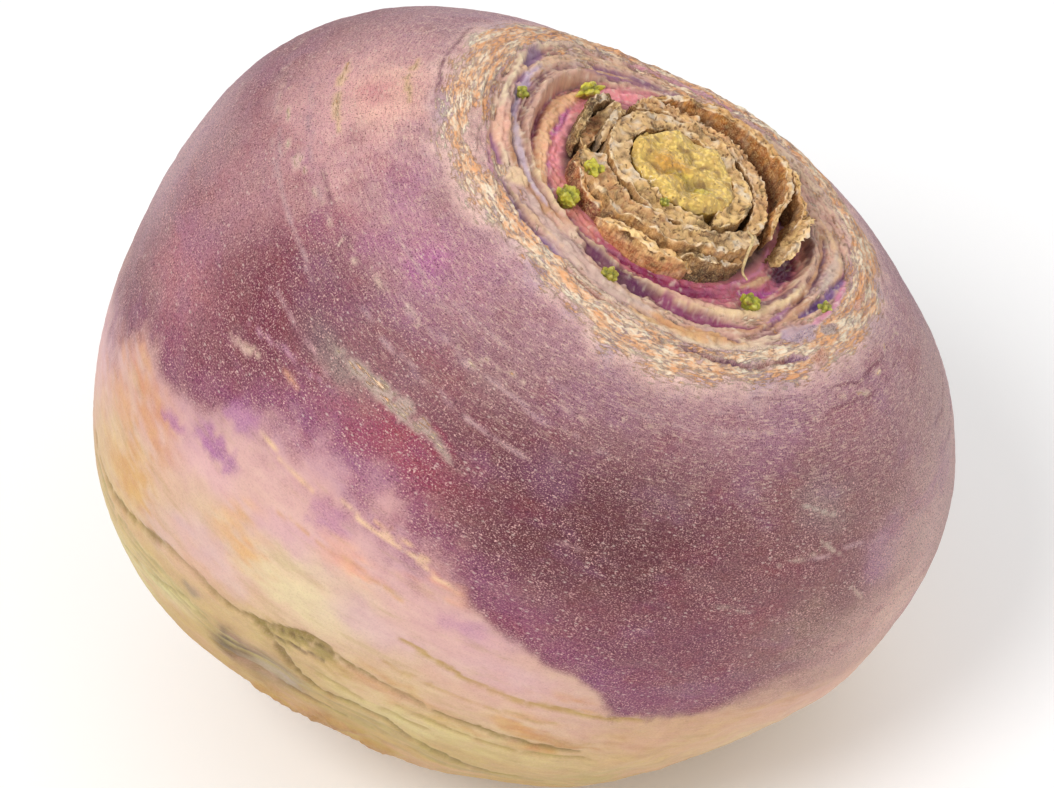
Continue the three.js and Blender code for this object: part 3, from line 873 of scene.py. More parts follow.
def turnip_root():
    """The root's mesh in rows from the crown down, with its colours and marks, then its crown and stump."""
    columns = 1024
    polar = root_rows()[:, None]
    azimuth = np.radians(np.arange(columns) * 360 / columns)[None, :]
    points = smooth_root(polar, azimuth)
    polar = polar + 0 * azimuth
    degrees = np.degrees(azimuth) + 0 * polar
    down = np.degrees(polar)
    radius = np.hypot(points[..., 0], points[..., 1])

    # Unrolled place: round a cylinder of belly size, and along the skin from the crown.
    ring = 45.0
    along = np.concatenate([[0], np.cumsum(np.linalg.norm(np.diff(points[:, 0], axis=0), axis=-1))])[:, None]
    unrolled = round_axis(ring, azimuth, along)

    # Crown: sink the pocket, raise the ledges.
    wobble = 0.35 * drift(points, 6, 1) + 0.2 * drift(points, 2, 2)
    ring_radius = radius + wobble
    in_crown = (1 - blur_step(NECK_EDGE, NECK_EDGE + 2, radius)) * (points[..., 2] > 0)
    rise = follow(ring_radius, NECK_LEDGES) * in_crown
    lumps = 0.35 * drift(points, 3, 3) + 0.15 * drift(points, 1.1, 4)
    ledge = points[..., 2] + rise + 0.25 * lumps * in_crown * blur_step(31, 28, radius)
    on_ledge = blur_step(POCKET_EDGE - 0.7, POCKET_EDGE + 0.5, ring_radius)
    sunk = POCKET_FLOOR + 0.4 * lumps + (ledge - POCKET_FLOOR - 0.4 * lumps) * on_ledge
    height = np.where(points[..., 2] > 0, sunk, points[..., 2])

    # Skin colour, from cream below to purple above.
    shift = 1.6 * drift(points, 9, 5) + 1.0 * drift(points, 3, 6) + 0.5 * drift(points, 1.2, 7)
    warped_down = down + shift
    warped_round = degrees + 3.5 * drift(points, 10, 8) + 1.5 * drift(points, 3, 9)
    edge = round_the_clock(degrees, PURPLE_EDGE)
    blur = round_the_clock(degrees, EDGE_BLUR)
    purple = blur_step(-blur, blur, edge - warped_down)
    from_edge = edge - warped_down
    blotchy = np.exp(-((from_edge / 6) ** 2)) * round_the_clock(degrees, EDGE_BLOTCHES)
    purple = np.clip(purple + 0.55 * blotchy * (drift(points, 3.5, 37) + 0.6 * drift(points, 1.4, 38)), 0, 1)
    stray = np.zeros(radius.shape)
    torn_round = degrees + 1.6 * drift(points, 2, 10)
    torn_down = down + 1.1 * drift(points, 1.5, 11)
    for at, low, across, tall, strength in STRAY_PURPLE:
        blob = patch_mask(torn_round, torn_down, at, low, across, tall)
        stray = np.maximum(stray, strength * blur_step(0, 1, blob))
    cream = np.zeros(points.shape) + tint(CREAM)
    cream = paint(cream, "be9852", blur_step(98, 125, down))
    cream = paint_patches(cream, CREAM_PATCHES, warped_round, warped_down)
    pink = 0.66 * np.exp(-(((from_edge + 6) / 8) ** 2)) * round_the_clock(degrees, PINK_BELOW)
    cream = paint(cream, "d9a6a8", pink)
    veil = np.exp(-((from_edge / 5) ** 2)) * round_the_clock(degrees, EDGE_VEIL)
    cream = paint(cream, "bd8a9a", veil)
    streaks = drift(unrolled * np.array([0.35, 0.35, 1.5]), 3, 39)
    streaks = streaks + 0.7 * drift(unrolled * np.array([0.5, 0.5, 2]), 1, 40)
    cream = paint_patches(cream, STAINS, warped_round, warped_down, blur_step(-0.5, 0.5, streaks))
    plum = np.zeros(points.shape) + tint(PLUM)
    plum = paint(plum, MAUVE, 1 - blur_step(38, 58, down))
    plum = paint_patches(plum, SKIN_PATCHES, warped_round, warped_down)
    magenta = 0.65 * np.exp(-(((from_edge - 3) / 3.5) ** 2)) * round_the_clock(degrees, MAGENTA_RIM)
    plum = paint(plum, "8a3868", magenta)
    ground = cream + (plum - cream) * purple[..., None]
    ground = paint(ground, "a8649a", stray)
    purple = np.maximum(purple, 0.4 * stray)

    # Cork on the neck, thinning outwards, and the crown's own tissue inside it, with painted shade on the
    # pocket floor by the leaf bases.
    outer = round_the_clock(degrees, CORK_OUTER) + 1.1 * drift(points, 4, 12) + 0.6 * drift(points, 1.5, 13)
    upper = points[..., 2] > 0
    from_inner = blur_step(CORK_INNER - 0.6, CORK_INNER + 0.8, ring_radius)
    cork = upper * from_inner * np.clip(0.6 - 0.17 * (radius - outer + 1.0), 0, 0.62)
    scorch = upper * from_inner * blur_step(3.0, -0.5, radius - outer)
    ground = paint(ground, "fbd2c4", 0.88 * scorch)
    lavender = blur_step(0.0, 0.5, drift(points, 4, 31)) * scorch
    ground = paint(ground, "b49aae", 0.6 * lavender)
    inside = (1 - blur_step(CORK_INNER - 0.4, CORK_INNER + 0.4, ring_radius)) * upper
    tissue = np.zeros(points.shape) + tint("d6a894")
    tissue = paint(tissue, "b49aa8", 0.45 * blur_step(0.05, 0.5, drift(points, 5, 32)))
    tissue = paint(tissue, "d6ac92", 1 - blur_step(20, 22, ring_radius))
    tissue = paint(tissue, "d07c84", 1 - blur_step(18.5, 19.6, ring_radius))
    # Painted shade: the pocket floor goes near black in towards the leaf bases.
    tissue = paint(tissue, "3c1c18", 1 - blur_step(13.5, 15.2, ring_radius))
    ground = ground + (tissue - ground) * inside[..., None]
    on_shelf = inside * blur_step(19.5, 21, ring_radius)
    cork = cork + on_shelf * np.clip(0.36 + 0.3 * drift(points, 3.2, 33), 0, 0.6)

    # Thin lines round the crown where the old leaves came away.
    ring_place = round_axis(9, azimuth, 2.3 * (radius + 0.8 * wobble))
    rings = 1.3 * drift(ring_place, 1.0, 34) + 0.7 * drift(ring_place * 2.1, 1.0, 35)
    ringed = upper * blur_step(14.6, 16, radius) * blur_step(31.5, 27, radius)
    on_neck = blur_step(24.5, 26.5, radius)
    ground = paint(ground, "71424c", (0.62 - 0.34 * on_neck) * ringed * blur_step(0.2, 0.8, -rings))
    ground = paint(ground, "efd6b4", 0.5 * ringed * blur_step(0.2, 0.8, rings))
    wet = 0.2 * inside
    carve = np.zeros(radius.shape)
    nudge = radius + 0.22 * drift(points, 2.2, 14) + 0.1 * drift(points, 0.8, 15)
    wander = degrees + 2 * drift(points, 3, 16)
    waver = drift(points, 1.6, 26) + 0.7 * drift(points, 0.7, 27)
    for path, half, colour, strength, lift, gloss in fine_strokes() + CROWN_STROKES:
        mask = line_mask(path, half, wander, nudge, 0.4, waver) * upper
        ground = paint(ground, colour, strength * mask)
        carve += lift * mask
        wet = wet + (gloss - wet) * mask
        cork = cork * (1 - 0.7 * mask)
    torn = drift(points, 0.9, 45) + 0.6 * drift(points, 0.45, 46)
    ground = paint(ground, "fff0d4", 0.4 * ringed * blur_step(0.3, 1.1, torn))
    ground = paint(ground, "5c3038", 0.36 * ringed * blur_step(0.3, 1.1, -torn))
    carve += 0.1 * torn * ringed
    flaky = blur_step(-0.1, 0.5, drift(ring_place * 0.8, 1.0, 36)) * np.minimum(cork * 2, 1)
    height = height + carve + 0.24 * rings * ringed + 0.3 * flaky * upper

    # Lines and scars on the skin.
    per_degree = 0.85
    sink = np.zeros(radius.shape)
    wavy = down + 0.5 * drift(points, 4, 17) + 0.12 * drift(points, 1, 18)
    fray = drift(points, 2.2, 28) + 0.7 * drift(points, 0.9, 29)
    for path, half, colour, lift, flaky in SKIN_LINES + fine_rings() + growth_lines() + scratches():
        mask = line_mask([(a, d * per_degree) for a, d in path], half, degrees, wavy * per_degree, 0.8, fray)
        mask = mask * blur_step(-0.8, 0.1, fray + 0.3)
        ground = paint(ground, colour, 0.88 * mask)
        cork = np.maximum(cork, flaky * mask)
        sink += lift * mask

    # Swellings and wrinkles, along the line from the centre.
    outward = points / np.linalg.norm(points, axis=-1, keepdims=True)
    skin_only = 1 - in_crown
    swell = 0.3 * drift(points, 16, 19) + 0.09 * drift(points, 5, 20)
    long_round = unrolled * np.array([0.3, 0.3, 1.4])
    swell += 0.06 * drift(long_round, 1.6, 21) + 0.035 * drift(unrolled, 0.9, 22)
    knobs = patch_mask(degrees, down, 312, 102, 26, 12)
    swell += 0.55 * knobs * drift(points, 5, 23)
    for at, low, across, tall, depth in DENTS:
        swell -= depth * patch_mask(degrees, down, at, low, across, tall)
    crust = patch_mask(degrees + 4 * drift(points, 4, 41), down, 254, 127, 22, 6)
    crust = crust * blur_step(-0.6, 0.3, drift(points, 3, 42))
    swell += crust * (0.4 + 0.6 * drift(points, 5, 43) + 0.22 * drift(points, 0.8, 44))
    ground = paint(ground, "b07f48", 0.8 * crust)
    cork = np.maximum(cork, 0.3 * crust)
    moved = points.copy()
    moved[..., 2] = height
    moved += outward * ((swell + sink) * skin_only)[..., None]

    # The stump's cut, with a fibrous face, and the flat spot under the belly.
    cut = -STUMP_CUT + 0.25 * drift(points, 1.5, 24) + 0.2 * drift(points, 4, 25)
    on_cut = moved[..., 2] < cut
    moved[..., 2] = np.where(on_cut, cut, moved[..., 2])
    rim = np.exp(-((moved[..., 2] - cut) / 1.2) ** 2) * (down > 120)
    ground = paint(ground, "b98f5c", 0.8 * rim)
    ground = paint(ground, "d8bf8d", 0.8 * on_cut)
    cork = np.maximum(cork, 0.62 * rim)
    lying = moved @ LYING.T
    lying[..., 2] = np.maximum(lying[..., 2], -REST_DEPTH + 0.02)
    moved = lying @ LYING

    top = np.array([[0, 0, POCKET_FLOOR]])
    end = np.array([[0, 0, -STUMP_CUT]])
    rows = points.shape[0]
    all_points = np.concatenate([top, moved.reshape(-1, 3), end])

    def with_ends(values):
        flat = values.reshape(rows * columns, -1)
        both = np.concatenate([flat[:1], flat, flat[-1:]])
        return both[:, 0] if both.shape[1] == 1 else both

    quads, first, last = ring_quads(rows, columns, start=1)
    end_point = rows * columns + 1
    faces = quads.tolist()
    faces += [(0, int(a), int(b)) for a, b in zip(first, np.roll(first, -1))]
    faces += [(end_point, int(b), int(a)) for a, b in zip(last, np.roll(last, -1))]
    purple = purple * (1 - inside) * (1 - cork)
    marks = {"ground": ground, "purple": purple, "cork": cork, "wet": wet, "unrolled": unrolled}
    marks = {name: with_ends(values) for name, values in marks.items()}
    piece = make_piece("turnip_root", all_points, faces, skin_material(), marks)
    stand_for(piece, "swollen_root")


# ---------------------------------------------------------------- crown pieces

def through(knots, count):
    """A smooth line of count points through knots, which are rows of numbers."""
    knots = np.array(knots, float)
    padded = np.vstack([2 * knots[0] - knots[1], knots, 2 * knots[-1] - knots[-2]])
    along = np.linspace(0, len(knots) - 1, count)
    first = np.minimum(along.astype(int), len(knots) - 2)
    part = (along - first)[:, None]
    a, b, c, d = (padded[first + step] for step in range(4))
    bend, twist = 2 * a - 5 * b + 4 * c - d, 3 * b - a - 3 * c + d
    return 0.5 * (2 * b + (c - a) * part + bend * part ** 2 + twist * part ** 3)


def blend_tints(share, stops):
    """Colours along a run of (share, colour) stops."""
    places = [place for place, _ in stops]
    colours = np.array([tint(colour) for _, colour in stops])
    return np.stack([np.interp(share, places, colours[:, i]) for i in range(3)], -1)


# Old leaf turns amber: its colours are multiplied by this.
DRY_WARMTH = np.array([1.1, 0.87, 0.6])
# Distance in mm between a leaf base's cross-sections.
SHEATH_STEP = 0.15


def sheath(knots, crest, wall, foot, seed, inner_wall=None, flare=0.0, ruffle=0.4, lumps=0.25, teeth=0.0,
           pits=0.12, base=POCKET_FLOOR - 0.5, dents=()):
    """A dried leaf base standing along knots of (azimuth, radius, half thickness, top height).

    crest is the colours along its cut edge, wall and inner_wall those of its sides, and foot the colour of the
    painted shade they darken to towards their foot. Returns points, faces and marks.
    """
    length = 0
    for a, b in zip(knots, knots[1:]):
        length += math.radians(abs(b[0] - a[0])) * (a[1] + b[1]) / 2 + abs(b[1] - a[1])
    count = int(length / SHEATH_STEP) + 8
    around = 60
    path = through(knots, count)
    angle = np.radians(path[:, 0])
    middle = np.stack([path[:, 1] * np.cos(angle), path[:, 1] * np.sin(angle)], -1)
    steps = np.gradient(middle, axis=0)
    run = np.concatenate([[0], np.cumsum(np.linalg.norm(np.diff(middle, axis=0), axis=-1))])
    heading = steps / np.linalg.norm(steps, axis=-1, keepdims=True)
    outward = np.stack([heading[:, 1], -heading[:, 0]], -1)
    to_end = np.minimum(run, run[-1] - run)
    taper = 0.12 + 0.88 * blur_step(0, 1.6, to_end)
    half = (path[:, 2] * taper)[:, None]
    top = (path[:, 3] - 0.9 * (1 - taper))[:, None]
    edge = np.minimum(half, 0.4)

    turn_on = np.linspace(0, 1, around, endpoint=False)[None, :]
    outer = np.clip(turn_on / 0.36, 0, 1)
    inner = np.clip((1 - turn_on) / 0.36, 0, 1)
    bend = np.clip((turn_on - 0.36) / 0.28, 0, 1) * math.pi
    side = np.sign(np.cos(bend)) * np.abs(np.cos(bend)) ** 0.6
    shoulder = top - edge
    height = base + (shoulder - base) * np.minimum(outer, inner) + edge * np.sin(bend) ** 0.8
    rise = (height - base) / (top - base)
    across = side * half + flare * rise ** 2
    flat = middle[:, None, :] + outward[:, None, :] * across[..., None]
    points = np.concatenate([flat, height[..., None]], -1)

    hollow = np.exp(-((bend / math.pi - 0.5) / 0.2) ** 2) * np.clip(half - 0.7, 0, 0.6)
    points[..., 2] -= 0.7 * hollow
    layers = np.stack([0.55 * run[:, None] + 0 * height, 2.3 * across, 0 * height], -1)
    laminae = drift(layers, 1.0, seed + 13) + 0.6 * drift(layers * 2.2, 1.0, seed + 14)
    points[..., 2] += 0.32 * laminae * np.clip(1.6 * half, 0, 1) * (bend > 0) * (bend < math.pi)
    on_crest = blur_step(0, 0.25, bend / math.pi) * blur_step(1, 0.75, bend / math.pi) + 0 * height
    line = np.concatenate([middle[:, None, :] + 0 * flat, 0 * height[..., None]], -1)
    small = 0.6 * drift(points, 0.5, seed + 2)
    wave = lumps * (1.5 * drift(line, 3.5, seed) + 0.6 * drift(points, 1.3, seed + 1) + small)
    points[..., :2] += outward[:, None, :] * (wave * (0.4 + 0.6 * rise))[..., None]
    points[..., 2] += rise * ruffle * (1.2 * drift(line, 2.6, seed + 3) + 0.7 * drift(points, 0.9, seed + 4))
    if teeth:
        beat = np.abs(np.sin(run * math.pi / 0.95 + 4 * drift(line[:, 0], 1.7, seed + 5)))[:, None]
        on_outside = blur_step(0.1, 0.9, side)
        points[..., 2] -= teeth * beat ** 3 * on_outside * rise
        points[..., :2] += outward[:, None, :] * (0.5 * teeth * (1 - beat) * on_outside * rise)[..., None]
    if pits:
        hole = blur_step(0.15, 0.55, drift(points, 0.5, seed + 6)) * on_crest
        points[..., 2] -= pits * hole
    dark = np.zeros(height.shape)
    for at, level, wide, tall, depth in dents:
        aside = (path[:, 0][:, None] - at) * math.radians(1) * path[:, 1][:, None]
        near = (aside / wide) ** 2 + ((height - level) / tall) ** 2
        mask = np.exp(-near ** 2) * (side > 0)
        points[..., :2] -= outward[:, None, :] * (depth * mask)[..., None]
        dark = np.maximum(dark, mask)

    share = (run / run[-1])[:, None] + 0 * height
    ground = blend_tints(share, crest)
    sides = tint(wall) + (tint(inner_wall or wall) - tint(wall)) * (side < 0)[..., None]
    ground = ground + (sides - ground) * (1 - on_crest)[..., None]
    # Painted shade: the walls darken to the foot colour towards their bottom, down between the collars.
    shade_rise = rise + 0.25 * drift(line, 0.8, seed + 8) + 0.15 * drift(points, 0.6, seed + 9)
    ground = paint(ground, foot, 0.95 * (1 - blur_step(0.35, 0.97, shade_rise)))
    brown = 0.6 * blur_step(0.2, 0.6, drift(points, 1.1, seed + 10)) * (0.35 + 0.65 * on_crest)
    ground = paint(ground, "8a6444", brown)
    ground = paint(ground, "efe0c4", 0.5 * blur_step(0.2, 0.6, drift(points, 0.9, seed + 11)) * on_crest)
    # Painted shade in the low layers of the cut edge and painted highlight on its raised layers, following the
    # laminae height.
    ground = paint(ground, "4a3018", 0.85 * blur_step(0.1, 0.8, -laminae) * on_crest)
    ground = paint(ground, "fff0cc", 0.6 * blur_step(0.1, 0.8, laminae) * on_crest)
    upright = np.stack([2.4 * run[:, None] + 0 * height, 0.25 * height, side + 0 * height], -1)
    veins = drift(upright, 1.0, seed + 15)
    ground = paint(ground, "6a4528", 0.5 * blur_step(-0.1, 0.7, veins) * (1 - on_crest))
    # Painted highlight along the rounded shoulders of the cut edge.
    lip_highlight = np.exp(-((np.abs(bend / math.pi - 0.5) - 0.36) / 0.09) ** 2)
    lip_highlight = lip_highlight * blur_step(-0.4, 0.3, drift(points, 1.0, seed + 12))
    ground = paint(ground, "fffdf6", 0.9 * lip_highlight)
    # Amber warmth of the old leaf, then painted shade inside the dents.
    ground = paint(ground * DRY_WARMTH, "5a3a20", dark)
    blotches = drift(points, 2.4, seed + 16) + 0.5 * drift(points, 0.8, seed + 17)
    ground = paint(ground, "f2e6d4", 0.66 * blur_step(0.15, 0.75, blotches) * (0.3 + 0.7 * on_crest))
    ground = paint(ground, "44301f", 0.7 * blur_step(0.25, 0.85, -blotches))
    unrolled = np.stack([run[:, None] + 0 * height, across, height], -1)
    quads, first, last = ring_quads(count, around)
    faces = quads[:, ::-1].tolist() + [first.tolist(), last[::-1].tolist()]
    return points.reshape(-1, 3), faces, ground.reshape(-1, 3), unrolled.reshape(-1, 3), on_crest.ravel()


def tube(knots, thickness, colour):
    """A thin round fibre through knots of (x, y, z)."""
    count, around = 40, 10
    path = through(knots, count)
    ahead = np.gradient(path, axis=0)
    ahead /= np.linalg.norm(ahead, axis=-1, keepdims=True)
    first = np.cross(ahead, [0.3, 0.9, 0.1])
    first /= np.linalg.norm(first, axis=-1, keepdims=True)
    second = np.cross(ahead, first)
    turn_on = np.linspace(0, 2 * math.pi, around, endpoint=False)
    thick = thickness * (0.5 + 0.5 * np.sin(np.linspace(0.15, math.pi - 0.1, count)))[:, None, None]
    ring = first[:, None] * np.cos(turn_on)[None, :, None] + second[:, None] * np.sin(turn_on)[None, :, None]
    points = path[:, None] + thick * ring
    quads, first, last = ring_quads(count, around)
    faces = quads[:, [0, 3, 2, 1]].tolist() + [first[::-1].tolist(), last.tolist()]
    points = points.reshape(-1, 3)
    return points, faces, np.zeros(points.shape) + tint(colour), points, np.zeros(len(points))


def join_shells(shells):
    """Joins shells into one set of points and faces, with their marks."""
    faces, start = [], 0
    for shell in shells:
        faces += [[corner + start for corner in face] for face in shell[1]]
        start += len(shell[0])
    points, ground, unrolled, crest = (np.concatenate([shell[i] for shell in shells]) for i in (0, 2, 3, 4))
    return points, faces, {"ground": ground, "unrolled": unrolled, "crest": crest}


def leaf_base(name, shells):
    points, faces, marks = join_shells(shells)
    piece = make_piece(name + "_husk", points, faces, DRY_LEAF, marks)
    stand_for(piece, name)


def mottled_material(name, size, amount):
    """A material with mottled colours from its mesh. Returns it, its bench, its place and the mottle node."""
    material, bench = new_material(name)
    ground = bench.mark("ground").outputs["Vector"]
    place = bench.mark("unrolled").outputs["Vector"]
    inputs = {"Place": place, "Colour": ground, "Size": size, "Amount": amount}
    return material, bench, place, bench.group(MOTTLE, inputs)


def dry_leaf_material():
    """Dead leaf base: fibres on the walls, pores on the cut edge, colours from the mesh."""
    material, bench, place, mottled = mottled_material("dry_leaf", 1.1, 0.7)
    crest = bench.mark("crest").outputs["Fac"]
    fibres = bench.noise(bench.stretched(place, (1.8, 1.2, 0.45)), 1.4, 4.0, 0.65)
    walls = bench.times(bench.remap(fibres, 0.58, 0.35), bench.minus(0.5, bench.times(crest, 0.35)))
    colour = bench.mix(walls, mottled.outputs["Colour"], "8a6848", "MULTIPLY")
    pores = bench.group(SPECKLE, {"Place": place, "Size": 0.5, "Share": 0.34}).outputs[0]
    on_crest = bench.times(pores, bench.plus(0.2, bench.times(crest, 0.8)))
    colour = bench.lay(colour, "6a3c1c", on_crest, 0.85)
    grain = bench.noise(place, 5.0, 3.0, 0.7)
    colour = bench.mix(bench.remap(grain, 0.45, 0.7, 0.0, 0.55), colour, "f3cd90")
    height = bench.plus(bench.times(fibres, 0.8), bench.times(grain, 0.7))
    height = bench.minus(height, on_crest)
    rough = bench.remap(mottled.outputs["Cloud"], 0.3, 0.7, 0.5, 0.75)
    finish_material(bench, colour, rough, height, 0.12, Specular_IOR_Level=0.35)
    return material


def pith_material():
    """Wet pith: bubbly cells over colours from the mesh, glossy."""
    material, bench, place, mottled = mottled_material("wet_pith", 1.0, 0.6)
    cells = bench.add("ShaderNodeTexVoronoi", {"Vector": place, "Scale": 2.1}, feature="SMOOTH_F1")
    round_cells = bench.remap(cells.outputs["Distance"], 0.05, 0.6, 1.0, 0.0)
    colour = bench.mix(bench.remap(round_cells, 0.5, 0.1, 0.0, 0.45), mottled.outputs["Colour"], "94702c")
    pores = bench.group(SPECKLE, {"Place": place, "Size": 0.5, "Share": 0.14}).outputs[0]
    colour = bench.lay(colour, "7d5a2a", pores, 0.7)
    grain = bench.noise(place, 4.0, 3.0, 0.6)
    height = bench.plus(round_cells, bench.times(grain, 0.5))
    height = bench.minus(height, bench.times(pores, 0.5))
    rough = bench.remap(mottled.outputs["Cloud"], 0.3, 0.7, 0.2, 0.42)
    finish_material(bench, colour, rough, height, 0.11, Coat_Weight=0.45, Coat_Roughness=0.12)
    return material


def bud_material():
    """Moist green bud: mottled colours from the mesh, with yellow flecks."""
    material, bench, place, mottled = mottled_material("green_bud", 0.5, 0.9)
    pale = bench.noise(place, 2.2, 3.0, 0.6)
    colour = bench.mix(bench.remap(pale, 0.5, 0.75, 0.0, 0.6), mottled.outputs["Colour"], "dace4a")
    grain = bench.noise(place, 4.5, 3.0, 0.6)
    finish_material(bench, colour, 0.38, grain, 0.15, Coat_Weight=0.15, Coat_Roughness=0.2)
    return material


STEM_RADIUS, STEM_TOP = 7.15, 44.9
# Colours on the pith: colour, place across and along, half sizes across and along in mm, strength.
PITH_SPOTS = [
    ("e09a34", -1.6, -0.6, 2.8, 2.3, 0.85),
    ("d8c23c", -0.3, -1.4, 1.8, 1.1, 0.85),
    ("cfbf44", 2.8, -2.4, 1.6, 1.3, 0.8),
]


def cut_stem():
    """The cut leaf stem: a low drum of wet pith with a folded, bubbly top."""
    rows, top_rows, columns = 70, 46, 220
    reach = np.linspace(0.02, 1, top_rows)
    angle = np.radians(np.arange(columns) * 360 / columns)[None, :]
    centre = np.array([0.35, 0.3])
    ring = round_axis(5, angle[0], 0)
    edge = STEM_RADIUS + 0.4 * drift(ring, 3, 60) + 0.25 * drift(ring, 1, 61)
    top = round_axis(reach[:, None] * edge, angle, 0.0)
    folds = 0.7 * drift(top, 2.8, 62) + 0.32 * drift(top, 1.1, 63) + 0.12 * drift(top, 0.5, 64)
    shoulder = -0.7 * blur_step(0.86, 1.0, reach)[:, None]
    top[..., 2] = STEM_TOP + folds + shoulder + 0.35 * blur_step(0.55, 0.8, reach)[:, None]
    depth = np.linspace(0, 1, rows - top_rows + 1)[1:, None]
    low = POCKET_FLOOR - 0.4
    rim = top[-1]
    wall = np.stack(np.broadcast_arrays(rim[:, 0], rim[:, 1], rim[:, 2] + (low - rim[:, 2]) * depth), -1)
    wall[..., :2] *= (1 + 0.02 * drift(wall, 1.2, 65))[..., None]
    points = np.concatenate([top, wall])
    points[..., :2] += centre
    across, along = points[..., 0], points[..., 1]
    ground = np.zeros(points.shape) + tint("f8d06c")
    ground = paint(ground, "f8d272", blur_step(0.0, 3.5, across * 0.6 + along * 0.8))
    for colour, x, y, half_x, half_y, strength in PITH_SPOTS:
        ground = paint(ground, colour, strength * soft_spot(across - x, along - y, half_x, half_y))
    ground = paint(ground, "86602c", 0.75 * blur_step(0.3, 0.7, drift(points, 1.4, 66)))
    ground = paint(ground, "6a4a28", 0.9 * blur_step(45.0, 43.8, points[..., 2]))
    marks = {"ground": ground.reshape(-1, 3), "unrolled": points.reshape(-1, 3)}
    faces = drum_faces(rows, columns)
    piece = make_piece("cut_stem_pith", points.reshape(-1, 3), faces, pith_material(), marks)
    stand_for(piece, "cut_stem")


# Directions of the small points on a bud.
BUD_TIPS = [
    (0.1, 0.05, 1.0), (0.75, 0.2, 0.6), (-0.6, 0.5, 0.65), (-0.1, -0.75, 0.6), (0.5, -0.6, 0.3),
    (-0.8, -0.3, 0.2), (0.2, 0.85, 0.3),
]
# Buds turn a warmer green: their colours are multiplied by this.
BUD_WARMTH = np.array([1.3, 1.2, 0.62])


def bud(number, azimuth, radius, foot, size, colour, stretch=1.0, height=1.0):
    """A small cluster of green points in a leaf axil. stretch draws it out along the ring."""
    across = np.radians(np.arange(0, 360, 5))[None, :]
    down = np.radians(np.linspace(2, 178, 56))[:, None]
    unit = round_axis(np.sin(down), across, np.cos(down))
    reach = np.full(unit.shape[:2], 0.7)
    for i, tip in enumerate(BUD_TIPS):
        tip = np.array(tip) + 0.25 * math.sin(number * 2.3 + i * 1.7)
        tip = tip / np.linalg.norm(tip)
        reach = np.maximum(reach, 0.6 + 0.45 * np.exp(8 * ((unit * tip).sum(-1) - 1)))
    lumps = 0.16 * drift(unit * size, 0.55, 70 + number)
    reach = reach * (1 + lumps + 0.07 * drift(unit * size, 0.25, 90 + number))
    shape = unit * (reach * size)[..., None]
    shape[..., 2] *= height
    shape[..., 1] *= stretch
    angle = math.radians(azimuth)
    bow = (shape[..., 1] ** 2) / (2 * radius)
    radial = shape[..., 0] - bow
    points = np.stack([
        (radius + radial) * math.cos(angle) - shape[..., 1] * math.sin(angle),
        (radius + radial) * math.sin(angle) + shape[..., 1] * math.cos(angle),
        foot + 0.55 * size * height + shape[..., 2],
    ], -1)
    ground = np.zeros(points.shape) + tint(colour) * BUD_WARMTH
    ground = paint(ground, "6a6a1c", 0.8 * blur_step(0.9, 0.72, reach))
    ground = paint(ground, "e6dc78", 0.6 * blur_step(0.95, 1.12, reach))
    ground = paint(ground, "7a4a2a", 0.7 * blur_step(0.35, 0.7, drift(points, 0.8, 80 + number)))
    faces = drum_faces(*points.shape[:2])
    marks = {"ground": ground.reshape(-1, 3), "unrolled": points.reshape(-1, 3)}
    piece = make_piece(f"green_bud_{number}", points.reshape(-1, 3), faces, GREEN_BUD, marks)
    stand_for(piece, f"axil_bud_{number}")


def ledge_height(azimuth, radius):
    """Height of the neck's ledge at an azimuth and radius, for what stands on it."""
    angle = math.radians(azimuth)
    polar = math.atan2(radius, float(dome_height(radius)))
    there = smooth_root(np.array(polar), np.array(angle))
    return float(there[2] + follow(radius, NECK_LEDGES))


